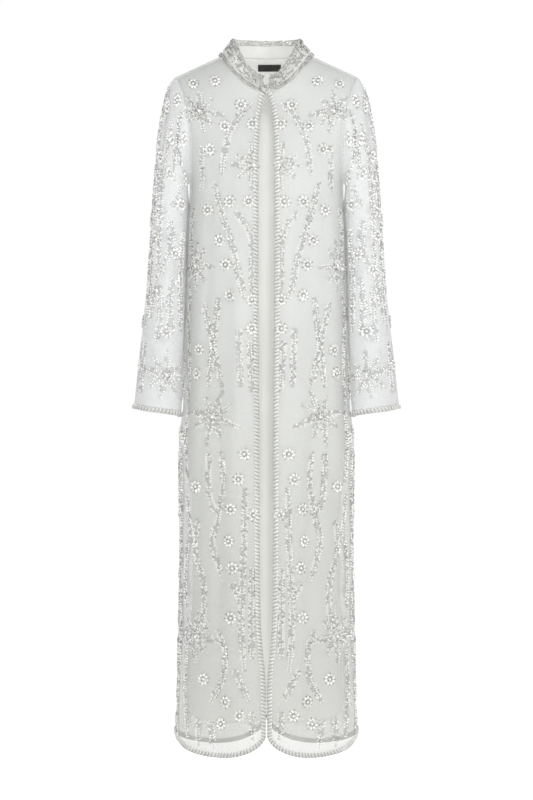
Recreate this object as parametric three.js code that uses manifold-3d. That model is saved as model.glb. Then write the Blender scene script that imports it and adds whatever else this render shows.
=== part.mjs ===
// An ankle-length open kaftan: beaded sheer net over a plain lining, with a stand collar, long
// sleeves and a hem cut in four scallops. It is modelled worn, hollow and with no wearer, closed
// by a small tab at the neck. Its raised flowers and stars are part of each panel's outer face.
//
// Millimetres, +Z up, the front faces -Y and the wearer's left is +X. The origin is the middle of
// the neck, level with the points where the shoulder seams meet the collar.
import * as THREE from "three";
import Module from "manifold-3d";

const wasm = await Module();
wasm.setup();
const { lerp, smoothstep, degToRad } = THREE.MathUtils;

// Driving dimensions
const SEAM = 0.3; // gap left between two pieces that are sewn together
const NET = 1.4; // wall of the beaded net
const LINING = 1.2; // wall of the lining
const COLLAR_WALL = 2.4;

const NECK_HALF = 92; // collar seam, from the middle to the shoulder seam
const NECK_DROP = 80; // collar seam at the front, below the shoulder seams
const NAPE_RISE = 2; // collar seam at the back, above them
const NECK_CURVE = { front: 1.9, back: 2 }; // a higher power makes the neckline rounder
const SHOULDER_HALF = 176; // from the middle to the top of the armhole
const SHOULDER_SLOPE = 0.46;
const SHOULDER_ROUND = 110; // height over which the shoulder turns down into the chest
const SHOULDER_SINK = 0.9; // how far an inner layer's shoulder sinks, as a share of its inset
const UNDERARM = -248;
const SIDE_SEAM_Y = 4;
const FLATTEN = 0.25; // how much flatter than an ellipse the front and back are
const FOLD_SIDEWAYS = 0.3; // share of a fold's depth by which it also widens the body

const HEM_LOW = -1352; // lowest point of each scallop
const SCALLOP_RISE = 50; // height of a scallop at the middle of the front and back
const SCALLOP_RISE_SIDE = 38; // and at the side seams
const LINING_HEM = -1286;
const LINING_RISE = 14;
const LINING_EDGE = 3; // it stops this far short of the net's front edge
const LINING_INSET = { top: 6.4, low: 9, from: -60, to: -400 }; // inside the net, by level
const LINING_NARROW = { top: 4, low: 26, from: -560, to: -900 }; // and narrower than it
const LINING_FOLDED = 0.4; // share of the net's folds that it follows

const COLLAR_HEIGHT = 34;
const COLLAR_TOP_HALF = 64;
const COLLAR_TOP_DEPTH = 0.79; // depth of the collar's top edge, as a share of its seam's
const COLLAR_LIFT = 0.8; // gap over the panels, which its leaning wall partly closes
const COLLAR_GAP_SEAM = 1.6; // half the gap between the collar's ends, at the seam
const COLLAR_GAP_TOP = 5; // and at the top edge

const CUFF_TILT = 16; // the outer side of the cuff ends this much higher
const BRAID = { wide: 9, high: 3, top: 5 };
const LIFT = 0.65; // gap under a braid, over the flat facets of the cloth
const CUFF_LIFT = 0.9;
const ARMHOLE_GAP = 0.75; // along the cloth, from the panel's edge to the sleeve's
const LABEL = { wide: 46, high: 13, thick: 0.8, x: 6, z: -6, gap: 2.4 };
const TAB = { wide: 25, high: 18, thick: 2.6, x: 3, z: -73, tilt: 0.42, proud: 4.6 };

// Level of each body section, its half width, and its depth before and behind the side seams.
// Above the underarm the half width belongs to the shoulders, and the armholes cut it short.
const BODY = [
  { z: 60, half: 240, front: 76, back: 66 },
  { z: 0, half: 224, front: 80, back: 76 },
  { z: -80, half: 204, front: 84, back: 92 },
  { z: -150, half: 175, front: 104, back: 99 },
  { z: -190, half: 163, front: 114, back: 101 },
  { z: -225, half: 155.5, front: 121, back: 102 },
  { z: -248, half: 150, front: 124, back: 102 },
  { z: -355, half: 155, front: 126, back: 100 },
  { z: -472, half: 158, front: 126, back: 100 },
  { z: -589, half: 161, front: 128, back: 108 },
  { z: -680, half: 163, front: 129, back: 113 },
  { z: -750, half: 171, front: 129, back: 115 },
  { z: -1000, half: 170, front: 129, back: 117 },
  { z: -1150, half: 173.5, front: 129, back: 119 },
  { z: -1250, half: 175.5, front: 128, back: 120 },
  { z: -1360, half: 179, front: 127, back: 121 },
];

// Half the gap between the two front edges.
const FRONT_GAP = [
  { z: -60, half: 1.6 },
  { z: -82, half: 1.6 },
  { z: -97, half: 6 },
  { z: -121, half: 11 },
  { z: -160, half: 13.8 },
  { z: -205, half: 15 },
  { z: -470, half: 15 },
  { z: -670, half: 13.5 },
  { z: -1000, half: 12.5 },
  { z: -1095, half: 10.5 },
  { z: -1150, half: 6.5 },
  { z: -1190, half: 2.6 },
  { z: -1225, half: 1.4 },
  { z: -1360, half: 1.4 },
];

// Armhole seam: how far it lies from the middle at each level.
const ARMHOLE = [
  { z: -38, x: 176.5 },
  { z: -60, x: 167.5 },
  { z: -100, x: 156 },
  { z: -150, x: 149 },
  { z: -190, x: 148 },
  { z: -225, x: 149 },
  { z: -248, x: 150 },
];

// Sleeve rings: level, inner and outer side seen from the front, half depth, and middle in depth.
// The inner side is pressed flat against the body, and stays this far clear of it.
const SLEEVE_CLEAR = 3.2;
const CUFF_CLEAR = 8;
const SLEEVE_SQUARE = 0.82; // under 1, the sleeve's section is squarer than an ellipse
const SLEEVE = [
  { z: -300, inner: 147, outer: 223.5, depth: 58, y: 3 },
  { z: -355, inner: 149, outer: 227, depth: 58, y: 2 },
  { z: -472, inner: 152, outer: 236, depth: 57, y: -2 },
  { z: -589, inner: 156, outer: 248, depth: 56, y: -8 },
  { z: -694, inner: 160, outer: 259, depth: 56, y: -12 },
];

// Long folds of the body, each named by the angle from the middle where it runs.
const FRONT_FOLDS = [
  { at: 15, wide: 10, deep: 3, top: -420, full: -900 },
  { at: 37, wide: 11, deep: -3.6, top: -300, full: -800 },
  { at: 56, wide: 11, deep: 3.6, top: -200, full: -620 },
  { at: 74, wide: 10, deep: -4, top: -330, full: -900 },
];
const BACK_FOLDS = [
  { at: 8, wide: 10, deep: 3.2, top: -380, full: -900 },
  { at: 29, wide: 11, deep: -3.8, top: -260, full: -760 },
  { at: 50, wide: 11, deep: 3.6, top: -330, full: -860 },
  { at: 70, wide: 10, deep: -4, top: -300, full: -820 },
];
const SLEEVE_FOLDS = [
  { at: 35, wide: 26, deep: -2.6, top: -180, full: -420 },
  { at: 95, wide: 28, deep: 2.4, top: -220, full: -480 },
  { at: 145, wide: 24, deep: -2.4, top: -300, full: -520 },
  { at: 235, wide: 26, deep: 2.4, top: -220, full: -480 },
  { at: 300, wide: 26, deep: -2.8, top: -200, full: -440 },
];

// Raised flowers and stars. On the body x and z are seen from the front or the back, on one half
// of the garment, and the other half mirrors them. On a sleeve they stand at an angle round it.
const FLOWER = { radius: 10.5, petals: 6, rise: 3.2, top: 0.62 };
const STAR = { rays: 8, rise: 3.4, ridge: 1.9, valley: 0.27, short: 0.84, crest: 0.5 };
const HALF_STAR = { rays: 5, first: -80, last: 80, inward: 5 }; // one that meets the front edge
const FRONT_FLOWERS = [
  { x: 78, z: -62 },
  { x: 40, z: -112 },
  { x: 82, z: -138 },
  { x: 108, z: -168 },
  { x: 70, z: -290 },
  { x: 92, z: -366 },
  { x: 36, z: -500 },
  { x: 130, z: -580 },
  { x: 44, z: -774 },
  { x: 60, z: -830 },
  { x: 36, z: -898 },
  { x: 74, z: -950 },
  { x: 66, z: -1030 },
  { x: 130, z: -1232 },
  { x: 84, z: -1276 },
];
const FRONT_STARS = [
  { x: 114, z: -92, turn: 20, reach: 36 },
  { x: 27, z: -208, turn: 0, reach: 46, half: true },
  { x: 136, z: -404, turn: 10, reach: 42 },
  { x: 108, z: -700, turn: 25, reach: 52 },
  { x: 144, z: -1142, turn: 5, reach: 44 },
];
const BACK_FLOWERS = [
  { x: 66, z: -42 },
  { x: 40, z: -110 },
  { x: 54, z: -270 },
  { x: 44, z: -430 },
  { x: 116, z: -520 },
  { x: 48, z: -800 },
  { x: 128, z: -850 },
  { x: 72, z: -940 },
  { x: 40, z: -1060 },
  { x: 112, z: -1262 },
];
const BACK_STARS = [
  { x: 112, z: -112, turn: 15, reach: 44 },
  { x: 88, z: -430, turn: 0, reach: 40 },
  { x: 96, z: -710, turn: 25, reach: 50 },
  { x: 84, z: -1160, turn: 5, reach: 46 },
];
const SLEEVE_FLOWERS = [
  { at: 22, z: -92 },
  { at: 62, z: -150 },
  { at: 44, z: -240 },
  { at: 64, z: -430 },
  { at: 305, z: -190 },
  { at: 290, z: -400 },
];
const SLEEVE_STARS = [
  { at: 70, z: -622, turn: 10, reach: 38 },
  { at: 285, z: -600, turn: 30, reach: 38 },
];

// How finely the pieces are divided
const ROWS_TOP = 8; // rows of a panel above the underarm, and half the columns of a sleeve
const ROWS_SKIRT = 13;
const COLUMNS = 12; // columns of half the body, half of them under the collar
const CLOSER = 0.6; // how much closer together the columns stand at both ends
const LINING_COLUMNS = 8;
const LINING_ROWS_TOP = 6;
const LINING_ROWS = 7;
const SLEEVE_ROWS_CAP = 5;
const SLEEVE_ROWS_ARM = 10;
const STEP = 0.4; // for slopes worked out by differences
const HALVINGS = 30; // for a search between two limits

// A smooth curve through one column of a table, read by another column.
function curve(table, by, key) {
  const rows = [...table].sort((a, b) => a[by] - b[by]);
  const slope = (i) => {
    const before = rows[Math.max(i - 1, 0)];
    const after = rows[Math.min(i + 1, rows.length - 1)];
    return (after[key] - before[key]) / (after[by] - before[by]);
  };
  return (value) => {
    const last = rows.length - 2;
    let i = rows.findIndex((row, k) => k > 0 && value <= row[by]) - 1;
    i = i < 0 ? (value <= rows[0][by] ? 0 : last) : i;
    const span = rows[i + 1][by] - rows[i][by];
    const t = THREE.MathUtils.clamp((value - rows[i][by]) / span, 0, 1);
    return hermite(rows[i][key], rows[i + 1][key], slope(i) * span, slope(i + 1) * span, t);
  };
}

function hermite(start, end, leave, arrive, t) {
  const s = t * t * (3 - 2 * t);
  return start * (1 - s) + end * s + leave * t * (1 - t) ** 2 - arrive * t * t * (1 - t);
}

const bodyHalf = curve(BODY, "z", "half");
const bodyDepth = { "-1": curve(BODY, "z", "front"), 1: curve(BODY, "z", "back") };
const frontGap = curve(FRONT_GAP, "z", "half");
const armholeX = curve(ARMHOLE, "z", "x");
const sleeveRing = Object.fromEntries(
  ["inner", "outer", "depth", "y"].map((key) => [key, curve(SLEEVE, "z", key)]),
);
const SHOULDER_TIP = -SHOULDER_SLOPE * (SHOULDER_HALF - NECK_HALF);
const FRONT = -1;
const BACK = 1;

// Height of the shoulder line over a point x from the middle.
const ridge = (x) => -SHOULDER_SLOPE * (Math.abs(x) - NECK_HALF);

// How far the folds push a surface out, at an angle in degrees and a level.
function foldDepth(folds, degrees, z) {
  return folds.reduce((sum, f) => {
    const across = (degrees - f.at) / f.wide;
    return sum + f.deep * Math.exp(-across * across) * (1 - smoothstep(z, f.full, f.top));
  }, 0);
}

// The body's outer face: side is FRONT or BACK, angle runs from the middle to the side seam.
function bodyFace(side, { inset = () => 0, narrow = () => 0, folded = 1 } = {}) {
  const folds = side === FRONT ? FRONT_FOLDS : BACK_FOLDS;
  return (angle, z) => {
    const bulge = folded * foldDepth(folds, Math.abs(angle) * (180 / Math.PI), z);
    const half = bodyHalf(z) - narrow(z) + bulge * FOLD_SIDEWAYS;
    const x = half * Math.sin(angle);
    const below = Math.max(ridge(x) - z, 0) / SHOULDER_ROUND;
    const turn = below < 1 ? Math.sqrt(1 - (1 - below) ** 2) : 1;
    const c = Math.cos(angle);
    const depth = (bodyDepth[side](z) + bulge - inset(z)) * c * (1 + FLATTEN * (1 - Math.abs(c)));
    const drop = inset(z) * (1 - turn) * SHOULDER_SINK;
    return new THREE.Vector3(x, SIDE_SEAM_Y + side * (depth * turn + SEAM / 2), z - drop);
  };
}

// The angle whose point lies x from the middle, at a level.
const angleOf = (x, z, narrow = 0) =>
  Math.asin(THREE.MathUtils.clamp(x / (bodyHalf(z) - narrow), -1, 1));

// The seam of the armhole, from the shoulder (0) to the underarm (1).
function armholeSeam(share) {
  const z = lerp(SHOULDER_TIP, UNDERARM, (1 - Math.cos(Math.PI * share)) / 2);
  return new THREE.Vector2(share === 0 ? SHOULDER_HALF : armholeX(z), z);
}

// The neck seam and then the shoulder seam, from the middle (0) to the shoulder's end (1).
const NECK_SHARE = 0.5;
function topSeam(side, share, startX) {
  if (share >= NECK_SHARE) {
    const x = lerp(NECK_HALF, SHOULDER_HALF, (share - NECK_SHARE) / (1 - NECK_SHARE));
    return new THREE.Vector2(x, ridge(x));
  }
  const x = lerp(startX, NECK_HALF, Math.sin((share / NECK_SHARE) * (Math.PI / 2)));
  return new THREE.Vector2(x, neckLevel(side, x));
}

// Level of the collar seam over a point x from the middle.
function neckLevel(side, x) {
  const share = Math.abs(x) / NECK_HALF;
  return side === FRONT
    ? -NECK_DROP * (1 - share ** NECK_CURVE.front)
    : NAPE_RISE * (1 - share ** NECK_CURVE.back);
}

// Level of the scalloped hem at an angle from the middle.
function scallop(low, rise, riseSide) {
  return (angle) => {
    const across = 2 * Math.abs(Math.sin(angle)) - 1;
    return low + (across < 0 ? rise : riseSide) * (1 - Math.sqrt(1 - across * across));
  };
}
const hemLevel = scallop(HEM_LOW, SCALLOP_RISE, SCALLOP_RISE_SIDE);
const liningHemLevel = scallop(LINING_HEM, LINING_RISE, LINING_RISE);

// Steps from 0 to 1, a little closer together at both ends.
const spread = (i, n) => lerp(i / n, (1 - Math.cos((Math.PI * i) / n)) / 2, CLOSER);

// Points of one half of a panel: rows from the top seam down to the hem, columns from the
// middle to the side. Each is { angle, z }, and top marks the shoulder seam.
function halfPanel(side, { columns, rowsTop, rowsSkirt, edge, hem, narrow = () => 0 }) {
  const rows = [];
  const bottomAngle = (u, z) => {
    const start = angleOf(edge(z), z, narrow(z));
    return lerp(start, Math.PI / 2, u);
  };
  const corner = { left: topSeam(side, 0, edge(neckLevel(side, 0))), right: armholeSeam(0) };
  for (let i = 0; i <= rowsTop; i += 1) {
    const v = i / rowsTop;
    const down = (1 - Math.cos(Math.PI * v)) / 2;
    const leftZ = lerp(corner.left.y, UNDERARM, down);
    const left = new THREE.Vector2(edge(leftZ), leftZ);
    const right = armholeSeam(v);
    const row = [];
    for (let j = 0; j <= columns; j += 1) {
      const u = spread(j, columns);
      const top = topSeam(side, u, corner.left.x);
      const angle = bottomAngle(u, UNDERARM);
      const bottom = new THREE.Vector2(bodyHalf(UNDERARM) * Math.sin(angle), UNDERARM);
      const start = new THREE.Vector2(edge(UNDERARM), UNDERARM);
      const end = new THREE.Vector2(bodyHalf(UNDERARM), UNDERARM);
      const mix = (key) =>
        lerp(top[key], bottom[key], down) +
        lerp(left[key], right[key], u) -
        lerp(lerp(corner.left[key], corner.right[key], u), lerp(start[key], end[key], u), down);
      const z = mix("y");
      row.push({ angle: angleOf(mix("x"), z), z, seam: i === 0 && u >= NECK_SHARE });
    }
    rows.push(row);
  }
  for (let i = 1; i <= rowsSkirt; i += 1) {
    const row = [];
    for (let j = 0; j <= columns; j += 1) {
      const u = spread(j, columns);
      const foot = hem(bottomAngle(u, HEM_LOW));
      const z = lerp(UNDERARM, foot, i / rowsSkirt);
      row.push({ angle: bottomAngle(u, z), z, seam: false });
    }
    rows.push(row);
  }
  return rows;
}

// The outward normal of a surface at its two parameters; turned is 1 or -1.
function normalOf(face, a, b, turned) {
  const across = face(a + STEP / 100, b).sub(face(a - STEP / 100, b));
  const down = face(a, b - STEP).sub(face(a, b + STEP));
  return down.cross(across).multiplyScalar(turned).normalize();
}

// A closed wall between two grids of points. A ring closes on itself, column to column.
function wallMesh(outer, inner, turned, ring = false) {
  const rows = outer.length;
  const columns = outer[0].length;
  const points = [...outer.flat(), ...inner.flat()];
  const at = (layer, i, j) => layer * rows * columns + i * columns + (j % columns);
  const faces = [];
  const quad = (a, b, c, d) => {
    const order = turned > 0 ? [a, b, c, d] : [d, c, b, a];
    faces.push([order[0], order[1], order[2]], [order[0], order[2], order[3]]);
  };
  const span = ring ? columns : columns - 1;
  for (let i = 0; i < rows - 1; i += 1)
    for (let j = 0; j < span; j += 1) {
      quad(at(0, i, j), at(0, i + 1, j), at(0, i + 1, j + 1), at(0, i, j + 1));
      quad(at(1, i, j), at(1, i, j + 1), at(1, i + 1, j + 1), at(1, i + 1, j));
    }
  for (let j = 0; j < span; j += 1) {
    quad(at(0, 0, j), at(0, 0, j + 1), at(1, 0, j + 1), at(1, 0, j));
    quad(at(0, rows - 1, j), at(1, rows - 1, j), at(1, rows - 1, j + 1), at(0, rows - 1, j + 1));
  }
  if (!ring)
    for (let i = 0; i < rows - 1; i += 1) {
      quad(at(0, i, 0), at(1, i, 0), at(1, i + 1, 0), at(0, i + 1, 0));
      const j = columns - 1;
      quad(at(0, i, j), at(0, i + 1, j), at(1, i + 1, j), at(1, i, j));
    }
  const facets = faces
    .filter((face) => face.every((k) => k < rows * columns))
    .map((face) => face.map((k) => points[k]));
  return { points, faces, facets };
}

// A panel's wall from its grid of { angle, z } points.
function clothWall(face, grid, thickness, turned) {
  const outer = grid.map((row) => row.map((p) => face(p.angle, p.z)));
  const inner = grid.map((row, i) =>
    row.map((p, j) => {
      const normal = normalOf(face, p.angle, p.z, turned);
      if (p.seam) normal.setY(0).normalize();
      return outer[i][j].clone().addScaledVector(normal, -thickness);
    }),
  );
  return wallMesh(outer, inner, turned);
}

const toManifold = ({ points, faces }) =>
  new wasm.Manifold(
    new wasm.Mesh({
      numProp: 3,
      vertProperties: new Float32Array(points.flatMap((p) => [p.x, p.y, p.z])),
      triVerts: new Uint32Array(faces.flat()),
    }),
  );

function toGeometry({ points, faces }) {
  const geometry = new THREE.BufferGeometry();
  const flat = points.flatMap((p) => [p.x, p.y, p.z]);
  geometry.setAttribute("position", new THREE.Float32BufferAttribute(flat, 3));
  geometry.setIndex(faces.flat());
  geometry.computeVertexNormals();
  return geometry;
}

function fromManifold(solid) {
  const mesh = solid.getMesh();
  const geometry = new THREE.BufferGeometry();
  const flat = new Float32Array(mesh.numVert * 3);
  for (let i = 0; i < mesh.numVert; i += 1)
    flat.set(mesh.vertProperties.subarray(i * mesh.numProp, i * mesh.numProp + 3), i * 3);
  geometry.setAttribute("position", new THREE.BufferAttribute(flat, 3));
  geometry.setIndex(new THREE.BufferAttribute(mesh.triVerts, 1));
  geometry.computeVertexNormals();
  return geometry;
}

// A patch of a wall round a point: it turns sideways and upward millimetres along the cloth, and
// a height over it, into a point in space. It finds the wall's own flat facet under the point.
const DROP = 20; // how far over the cloth it looks from
function patch(face, wall, a, b, turned) {
  const middle = face(a, b);
  const perAngle = face(a + 0.01, b).distanceTo(face(a - 0.01, b)) / 0.02;
  const perLevel = face(a, b + 1).distanceTo(face(a, b - 1)) / 2;
  const near = wall.facets.filter((facet) => facet.some((p) => p.distanceTo(middle) < 6 * DROP));
  return (right, rise, height) => {
    const [s, t] = [a + right / perAngle, b + rise / perLevel];
    const normal = normalOf(face, s, t, turned);
    const over = face(s, t).addScaledVector(normal, DROP);
    const ray = new THREE.Ray(over, normal.clone().negate());
    let best = null;
    for (const [p, q, r] of near) {
      const hit = ray.intersectTriangle(p, q, r, false, new THREE.Vector3());
      if (hit && (!best || hit.distanceTo(over) < best.distance))
        best = { point: hit, distance: hit.distanceTo(over), normal: facetNormal(p, q, r, normal) };
    }
    if (!best) throw new Error(`no cloth under the raised work at ${middle.toArray()}`);
    return best.point.addScaledVector(best.normal, height);
  };
}

function facetNormal(p, q, r, outward) {
  const normal = q.clone().sub(p).cross(r.clone().sub(p)).normalize();
  return normal.dot(outward) < 0 ? normal.negate() : normal;
}

const ROOT_DEPTH = -0.7; // raised work is rooted this deep in the wall
const RIM_DEPTH = -0.35;

// A flower: a low dome with a flat top.
function flowerMesh(place) {
  const count = FLOWER.petals;
  const ring = (share, height) =>
    Array.from({ length: count }, (_, k) => {
      const turn = (k / count) * 2 * Math.PI;
      const reach = FLOWER.radius * share;
      return place(reach * Math.cos(turn), reach * Math.sin(turn), height);
    });
  const points = [
    ...ring(1, ROOT_DEPTH),
    ...ring(FLOWER.top, FLOWER.rise),
    place(0, 0, ROOT_DEPTH),
    place(0, 0, FLOWER.rise),
  ];
  const faces = [];
  for (let k = 0; k < count; k += 1) {
    const next = (k + 1) % count;
    faces.push([2 * count, next, k], [2 * count + 1, count + k, count + next]);
    faces.push([k, next, count + next], [k, count + next, count + k]);
  }
  return { points, faces };
}

// A star: each ray is a ridge that narrows to a tip, with a valley on each side of it.
function starMesh(place, { turn, reach, half }) {
  const rays = half ? HALF_STAR.rays : STAR.rays;
  const first = half ? HALF_STAR.first : turn;
  const gap = half ? (HALF_STAR.last - HALF_STAR.first) / (rays - 1) : 360 / rays;
  const spot = (degrees, along, height) =>
    place(along * Math.cos(degToRad(degrees)), along * Math.sin(degToRad(degrees)), height);
  const middle = half ? HALF_STAR.inward : 0;
  const points = [spot(0, middle, STAR.rise), spot(0, middle, ROOT_DEPTH)];
  const valleys = half ? rays + 1 : rays;
  for (let k = 0; k < valleys; k += 1)
    points.push(spot(first + (k - 0.5) * gap, reach * STAR.valley, RIM_DEPTH));
  for (let k = 0; k < rays; k += 1) {
    const long = reach * (k % 2 ? STAR.short : 1);
    const crest = long * STAR.crest;
    const degrees = first + k * gap;
    points.push(spot(degrees, crest, STAR.ridge), spot(degrees, crest, ROOT_DEPTH));
    points.push(spot(degrees, long, RIM_DEPTH));
  }
  const faces = [];
  for (let k = 0; k < rays; k += 1) {
    const [before, after] = [2 + k, 2 + ((k + 1) % valleys)];
    const [ridge, root, tip] = [0, 1, 2].map((n) => 2 + valleys + 3 * k + n);
    faces.push([0, before, ridge], [0, ridge, after], [ridge, before, tip], [ridge, tip, after]);
    faces.push([1, root, before], [1, after, root], [root, tip, before], [root, after, tip]);
  }
  if (half) faces.push([0, 1 + valleys, 2], [1, 2, 1 + valleys]);
  return { points, faces };
}

// All the raised work at a list of places, joined to a wall.
function addRaisedWork(wall, face, flowers, stars, turned) {
  const raised = [];
  const place = (m) => patch(face, wall, m.a, m.z, turned);
  for (const flower of flowers) raised.push(flowerMesh(place(flower)));
  for (const star of stars) raised.push(starMesh(place(star), star));
  return raised.reduce((all, mesh) => {
    const piece = toManifold(mesh);
    return all.add(piece.volume() < 0 ? toManifold(flipped(mesh)) : piece);
  }, toManifold(wall));
}

const flipped = ({ points, faces }) => ({ points, faces: faces.map(([a, b, c]) => [a, c, b]) });

// Panels of the net
const panelPlan = { columns: COLUMNS, rowsTop: ROWS_TOP, rowsSkirt: ROWS_SKIRT, hem: hemLevel };
const netFront = bodyFace(FRONT);
const netBack = bodyFace(BACK);
const onBody = (list) => list.map((m) => ({ ...m, a: angleOf(m.x, m.z) }));
const mirrored = (list) => [...list, ...list.map((m) => ({ ...m, a: -m.a, turn: -(m.turn ?? 0) }))];

function frontPanel() {
  const grid = halfPanel(FRONT, { ...panelPlan, edge: frontGap });
  const wall = clothWall(netFront, grid, NET, 1);
  return addRaisedWork(wall, netFront, onBody(FRONT_FLOWERS), onBody(FRONT_STARS), 1);
}

// A back is one piece: its half is drawn with a turned copy on the other side.
function wholeBack(half) {
  const turn = (row) => row.slice(1).reverse().map((p) => ({ ...p, angle: -p.angle }));
  return half.map((row) => [...turn(row), ...row]);
}

function backPanel() {
  const grid = wholeBack(halfPanel(BACK, { ...panelPlan, edge: () => 0 }));
  const wall = clothWall(netBack, grid, NET, -1);
  const [flowers, stars] = [BACK_FLOWERS, BACK_STARS].map((list) => mirrored(onBody(list)));
  return addRaisedWork(wall, netBack, flowers, stars, -1);
}

// Lining: inside the net, narrower below the hips, and let in from the net's seams and edges
const byLevel = ({ top, low, from, to }) => (z) => lerp(low, top, smoothstep(z, to, from));
const liningInset = byLevel(LINING_INSET);
const liningNarrow = byLevel(LINING_NARROW);
const liningShape = { inset: liningInset, narrow: liningNarrow, folded: LINING_FOLDED };

function liningPanel(side) {
  const half = halfPanel(side, {
    columns: LINING_COLUMNS,
    rowsTop: LINING_ROWS_TOP,
    rowsSkirt: LINING_ROWS,
    edge: side === FRONT ? (z) => frontGap(z) + LINING_EDGE : () => 0,
    hem: liningHemLevel,
    narrow: liningNarrow,
  });
  const face = bodyFace(side, liningShape);
  const grid = side === FRONT ? half : wholeBack(half);
  return toGeometry(clothWall(face, grid, LINING, -side));
}

// Sleeve: from the armhole seam to the cuff. round runs from the outer side by the front.
const CAP_END = SLEEVE[0].z;
const CUFF = SLEEVE.at(-1).z;
const squarer = (value) => Math.sign(value) * Math.abs(value) ** SLEEVE_SQUARE;
function armPoint(round, z) {
  const ring = Object.fromEntries(Object.entries(sleeveRing).map(([key, of]) => [key, of(z)]));
  const tilt = CUFF_TILT * smoothstep(-z, -CAP_END, -CUFF);
  const degrees = THREE.MathUtils.euclideanModulo(THREE.MathUtils.radToDeg(round), 360);
  const fold = foldDepth(SLEEVE_FOLDS, degrees, z) * smoothstep(-z, -CAP_END, -CAP_END + 60);
  const half = (ring.outer - ring.inner) / 2 + fold * Math.max(Math.cos(round), 0);
  const x = (ring.outer + ring.inner) / 2 + half * squarer(Math.cos(round));
  const y = ring.y - (ring.depth + fold) * squarer(Math.sin(round));
  const clear = lerp(SLEEVE_CLEAR, CUFF_CLEAR, smoothstep(-z, -CUFF - 70, -CUFF - 10));
  const level = z + (tilt / 2) * Math.cos(round);
  return new THREE.Vector3(Math.max(x, besideBody(y, level) + clear), y, level);
}

// How far the body reaches sideways at a depth and a level.
function besideBody(y, z) {
  const face = y < SIDE_SEAM_Y ? netFront : netBack;
  let [middle, seam] = [0, Math.PI / 2];
  for (let i = 0; i < HALVINGS; i += 1) {
    const angle = (middle + seam) / 2;
    if (Math.abs(face(angle, z).y - SIDE_SEAM_Y) > Math.abs(y - SIDE_SEAM_Y)) middle = angle;
    else seam = angle;
  }
  return face(seam, z).x;
}

function seamPoint(round) {
  const front = round <= Math.PI;
  const seam = armholeSeam(front ? round / Math.PI : 2 - round / Math.PI);
  return (front ? netFront : netBack)(angleOf(seam.x, seam.y), seam.y);
}

// How the cap leaves the armhole and arrives at the arm, over the shoulder and at the underarm.
const CAP_LEAVE = { over: { x: 88, z: -35 }, under: { x: 26, z: 6 }, y: 26 };
const CAP_ARRIVE = { over: { x: 9, z: -220 }, under: { x: 3, z: -60 } };

// A point of the sleeve: down is 0 at the seam, 1 where the cap ends and 2 at the cuff.
function sleeveFace(round, down) {
  if (down >= 1) return armPoint(round, lerp(CAP_END, CUFF, down - 1));
  const start = seamPoint(THREE.MathUtils.euclideanModulo(round, 2 * Math.PI));
  const end = armPoint(round, CAP_END);
  const low = (1 - Math.cos(round)) / 2;
  const between = ({ over, under }, y) =>
    new THREE.Vector3(lerp(over.x, under.x, low), y, lerp(over.z, under.z, low));
  const leave = between(CAP_LEAVE, -CAP_LEAVE.y * Math.sin(round));
  const arrive = between(CAP_ARRIVE, 0);
  const mix = (key) => hermite(start[key], end[key], leave[key], arrive[key], down);
  return new THREE.Vector3(mix("x"), mix("y"), mix("z"));
}

// The sleeve as a surface of angle and level, for the raised work on it.
function sleeveByLevel(round, z) {
  let [top, foot] = [0, 2];
  for (let i = 0; i < HALVINGS; i += 1) {
    const middle = (top + foot) / 2;
    if (sleeveFace(round, middle).z > z) top = middle;
    else foot = middle;
  }
  return sleeveFace(round, (top + foot) / 2);
}

function sleeveGrid() {
  const columns = 2 * ROWS_TOP;
  const downs = [
    ...Array.from({ length: SLEEVE_ROWS_CAP }, (_, i) => i / SLEEVE_ROWS_CAP),
    ...Array.from({ length: SLEEVE_ROWS_ARM + 1 }, (_, i) => 1 + i / SLEEVE_ROWS_ARM),
  ];
  const rounds = Array.from({ length: columns }, (_, j) => (j / columns) * 2 * Math.PI);
  return { downs, rounds };
}

function sleeve() {
  const { downs, rounds } = sleeveGrid();
  const outer = downs.map((down) => rounds.map((round) => sleeveFace(round, down)));
  const inner = outer.map((row, i) =>
    row.map((point, j) => {
      const nextI = Math.min(i + 1, outer.length - 1);
      const down = outer[nextI][j].clone().sub(outer[Math.max(i - 1, 0)][j]);
      const across = row[(j + 1) % row.length].clone().sub(row[(j + row.length - 1) % row.length]);
      const normal = across.cross(down).normalize();
      return point.clone().addScaledVector(normal, -NET);
    }),
  );
  // The seam end lies along the body's own edge, a seam's gap beyond it
  rounds.forEach((round, j) => {
    const out = wayOut(round);
    outer[0][j].addScaledVector(out, ARMHOLE_GAP);
    inner[0][j].addScaledVector(out, ARMHOLE_GAP);
  });
  const wall = wallMesh(outer, inner, -1, true);
  const place = (list) => list.map((m) => ({ ...m, a: degToRad(m.at) }));
  return addRaisedWork(wall, sleeveByLevel, place(SLEEVE_FLOWERS), place(SLEEVE_STARS), -1);
}

// The way out of the body's panel at a point of the armhole seam.
function wayOut(round) {
  const [side, turned] = round <= Math.PI ? [netFront, 1] : [netBack, -1];
  const seam = armholeSeam(round <= Math.PI ? round / Math.PI : 2 - round / Math.PI);
  const normal = normalOf(side, angleOf(seam.x, seam.y), seam.y, turned);
  const along = seamPoint(Math.min(round + 0.02, 2 * Math.PI));
  along.sub(seamPoint(Math.max(round - 0.02, 0)));
  if (Math.abs(round - Math.PI) < 0.01) along.set(0, 1, 0);
  if (round === 0) along.set(0, -1, 0);
  if (round === 0) normal.setY(0);
  return normal.cross(along).normalize();
}

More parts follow.
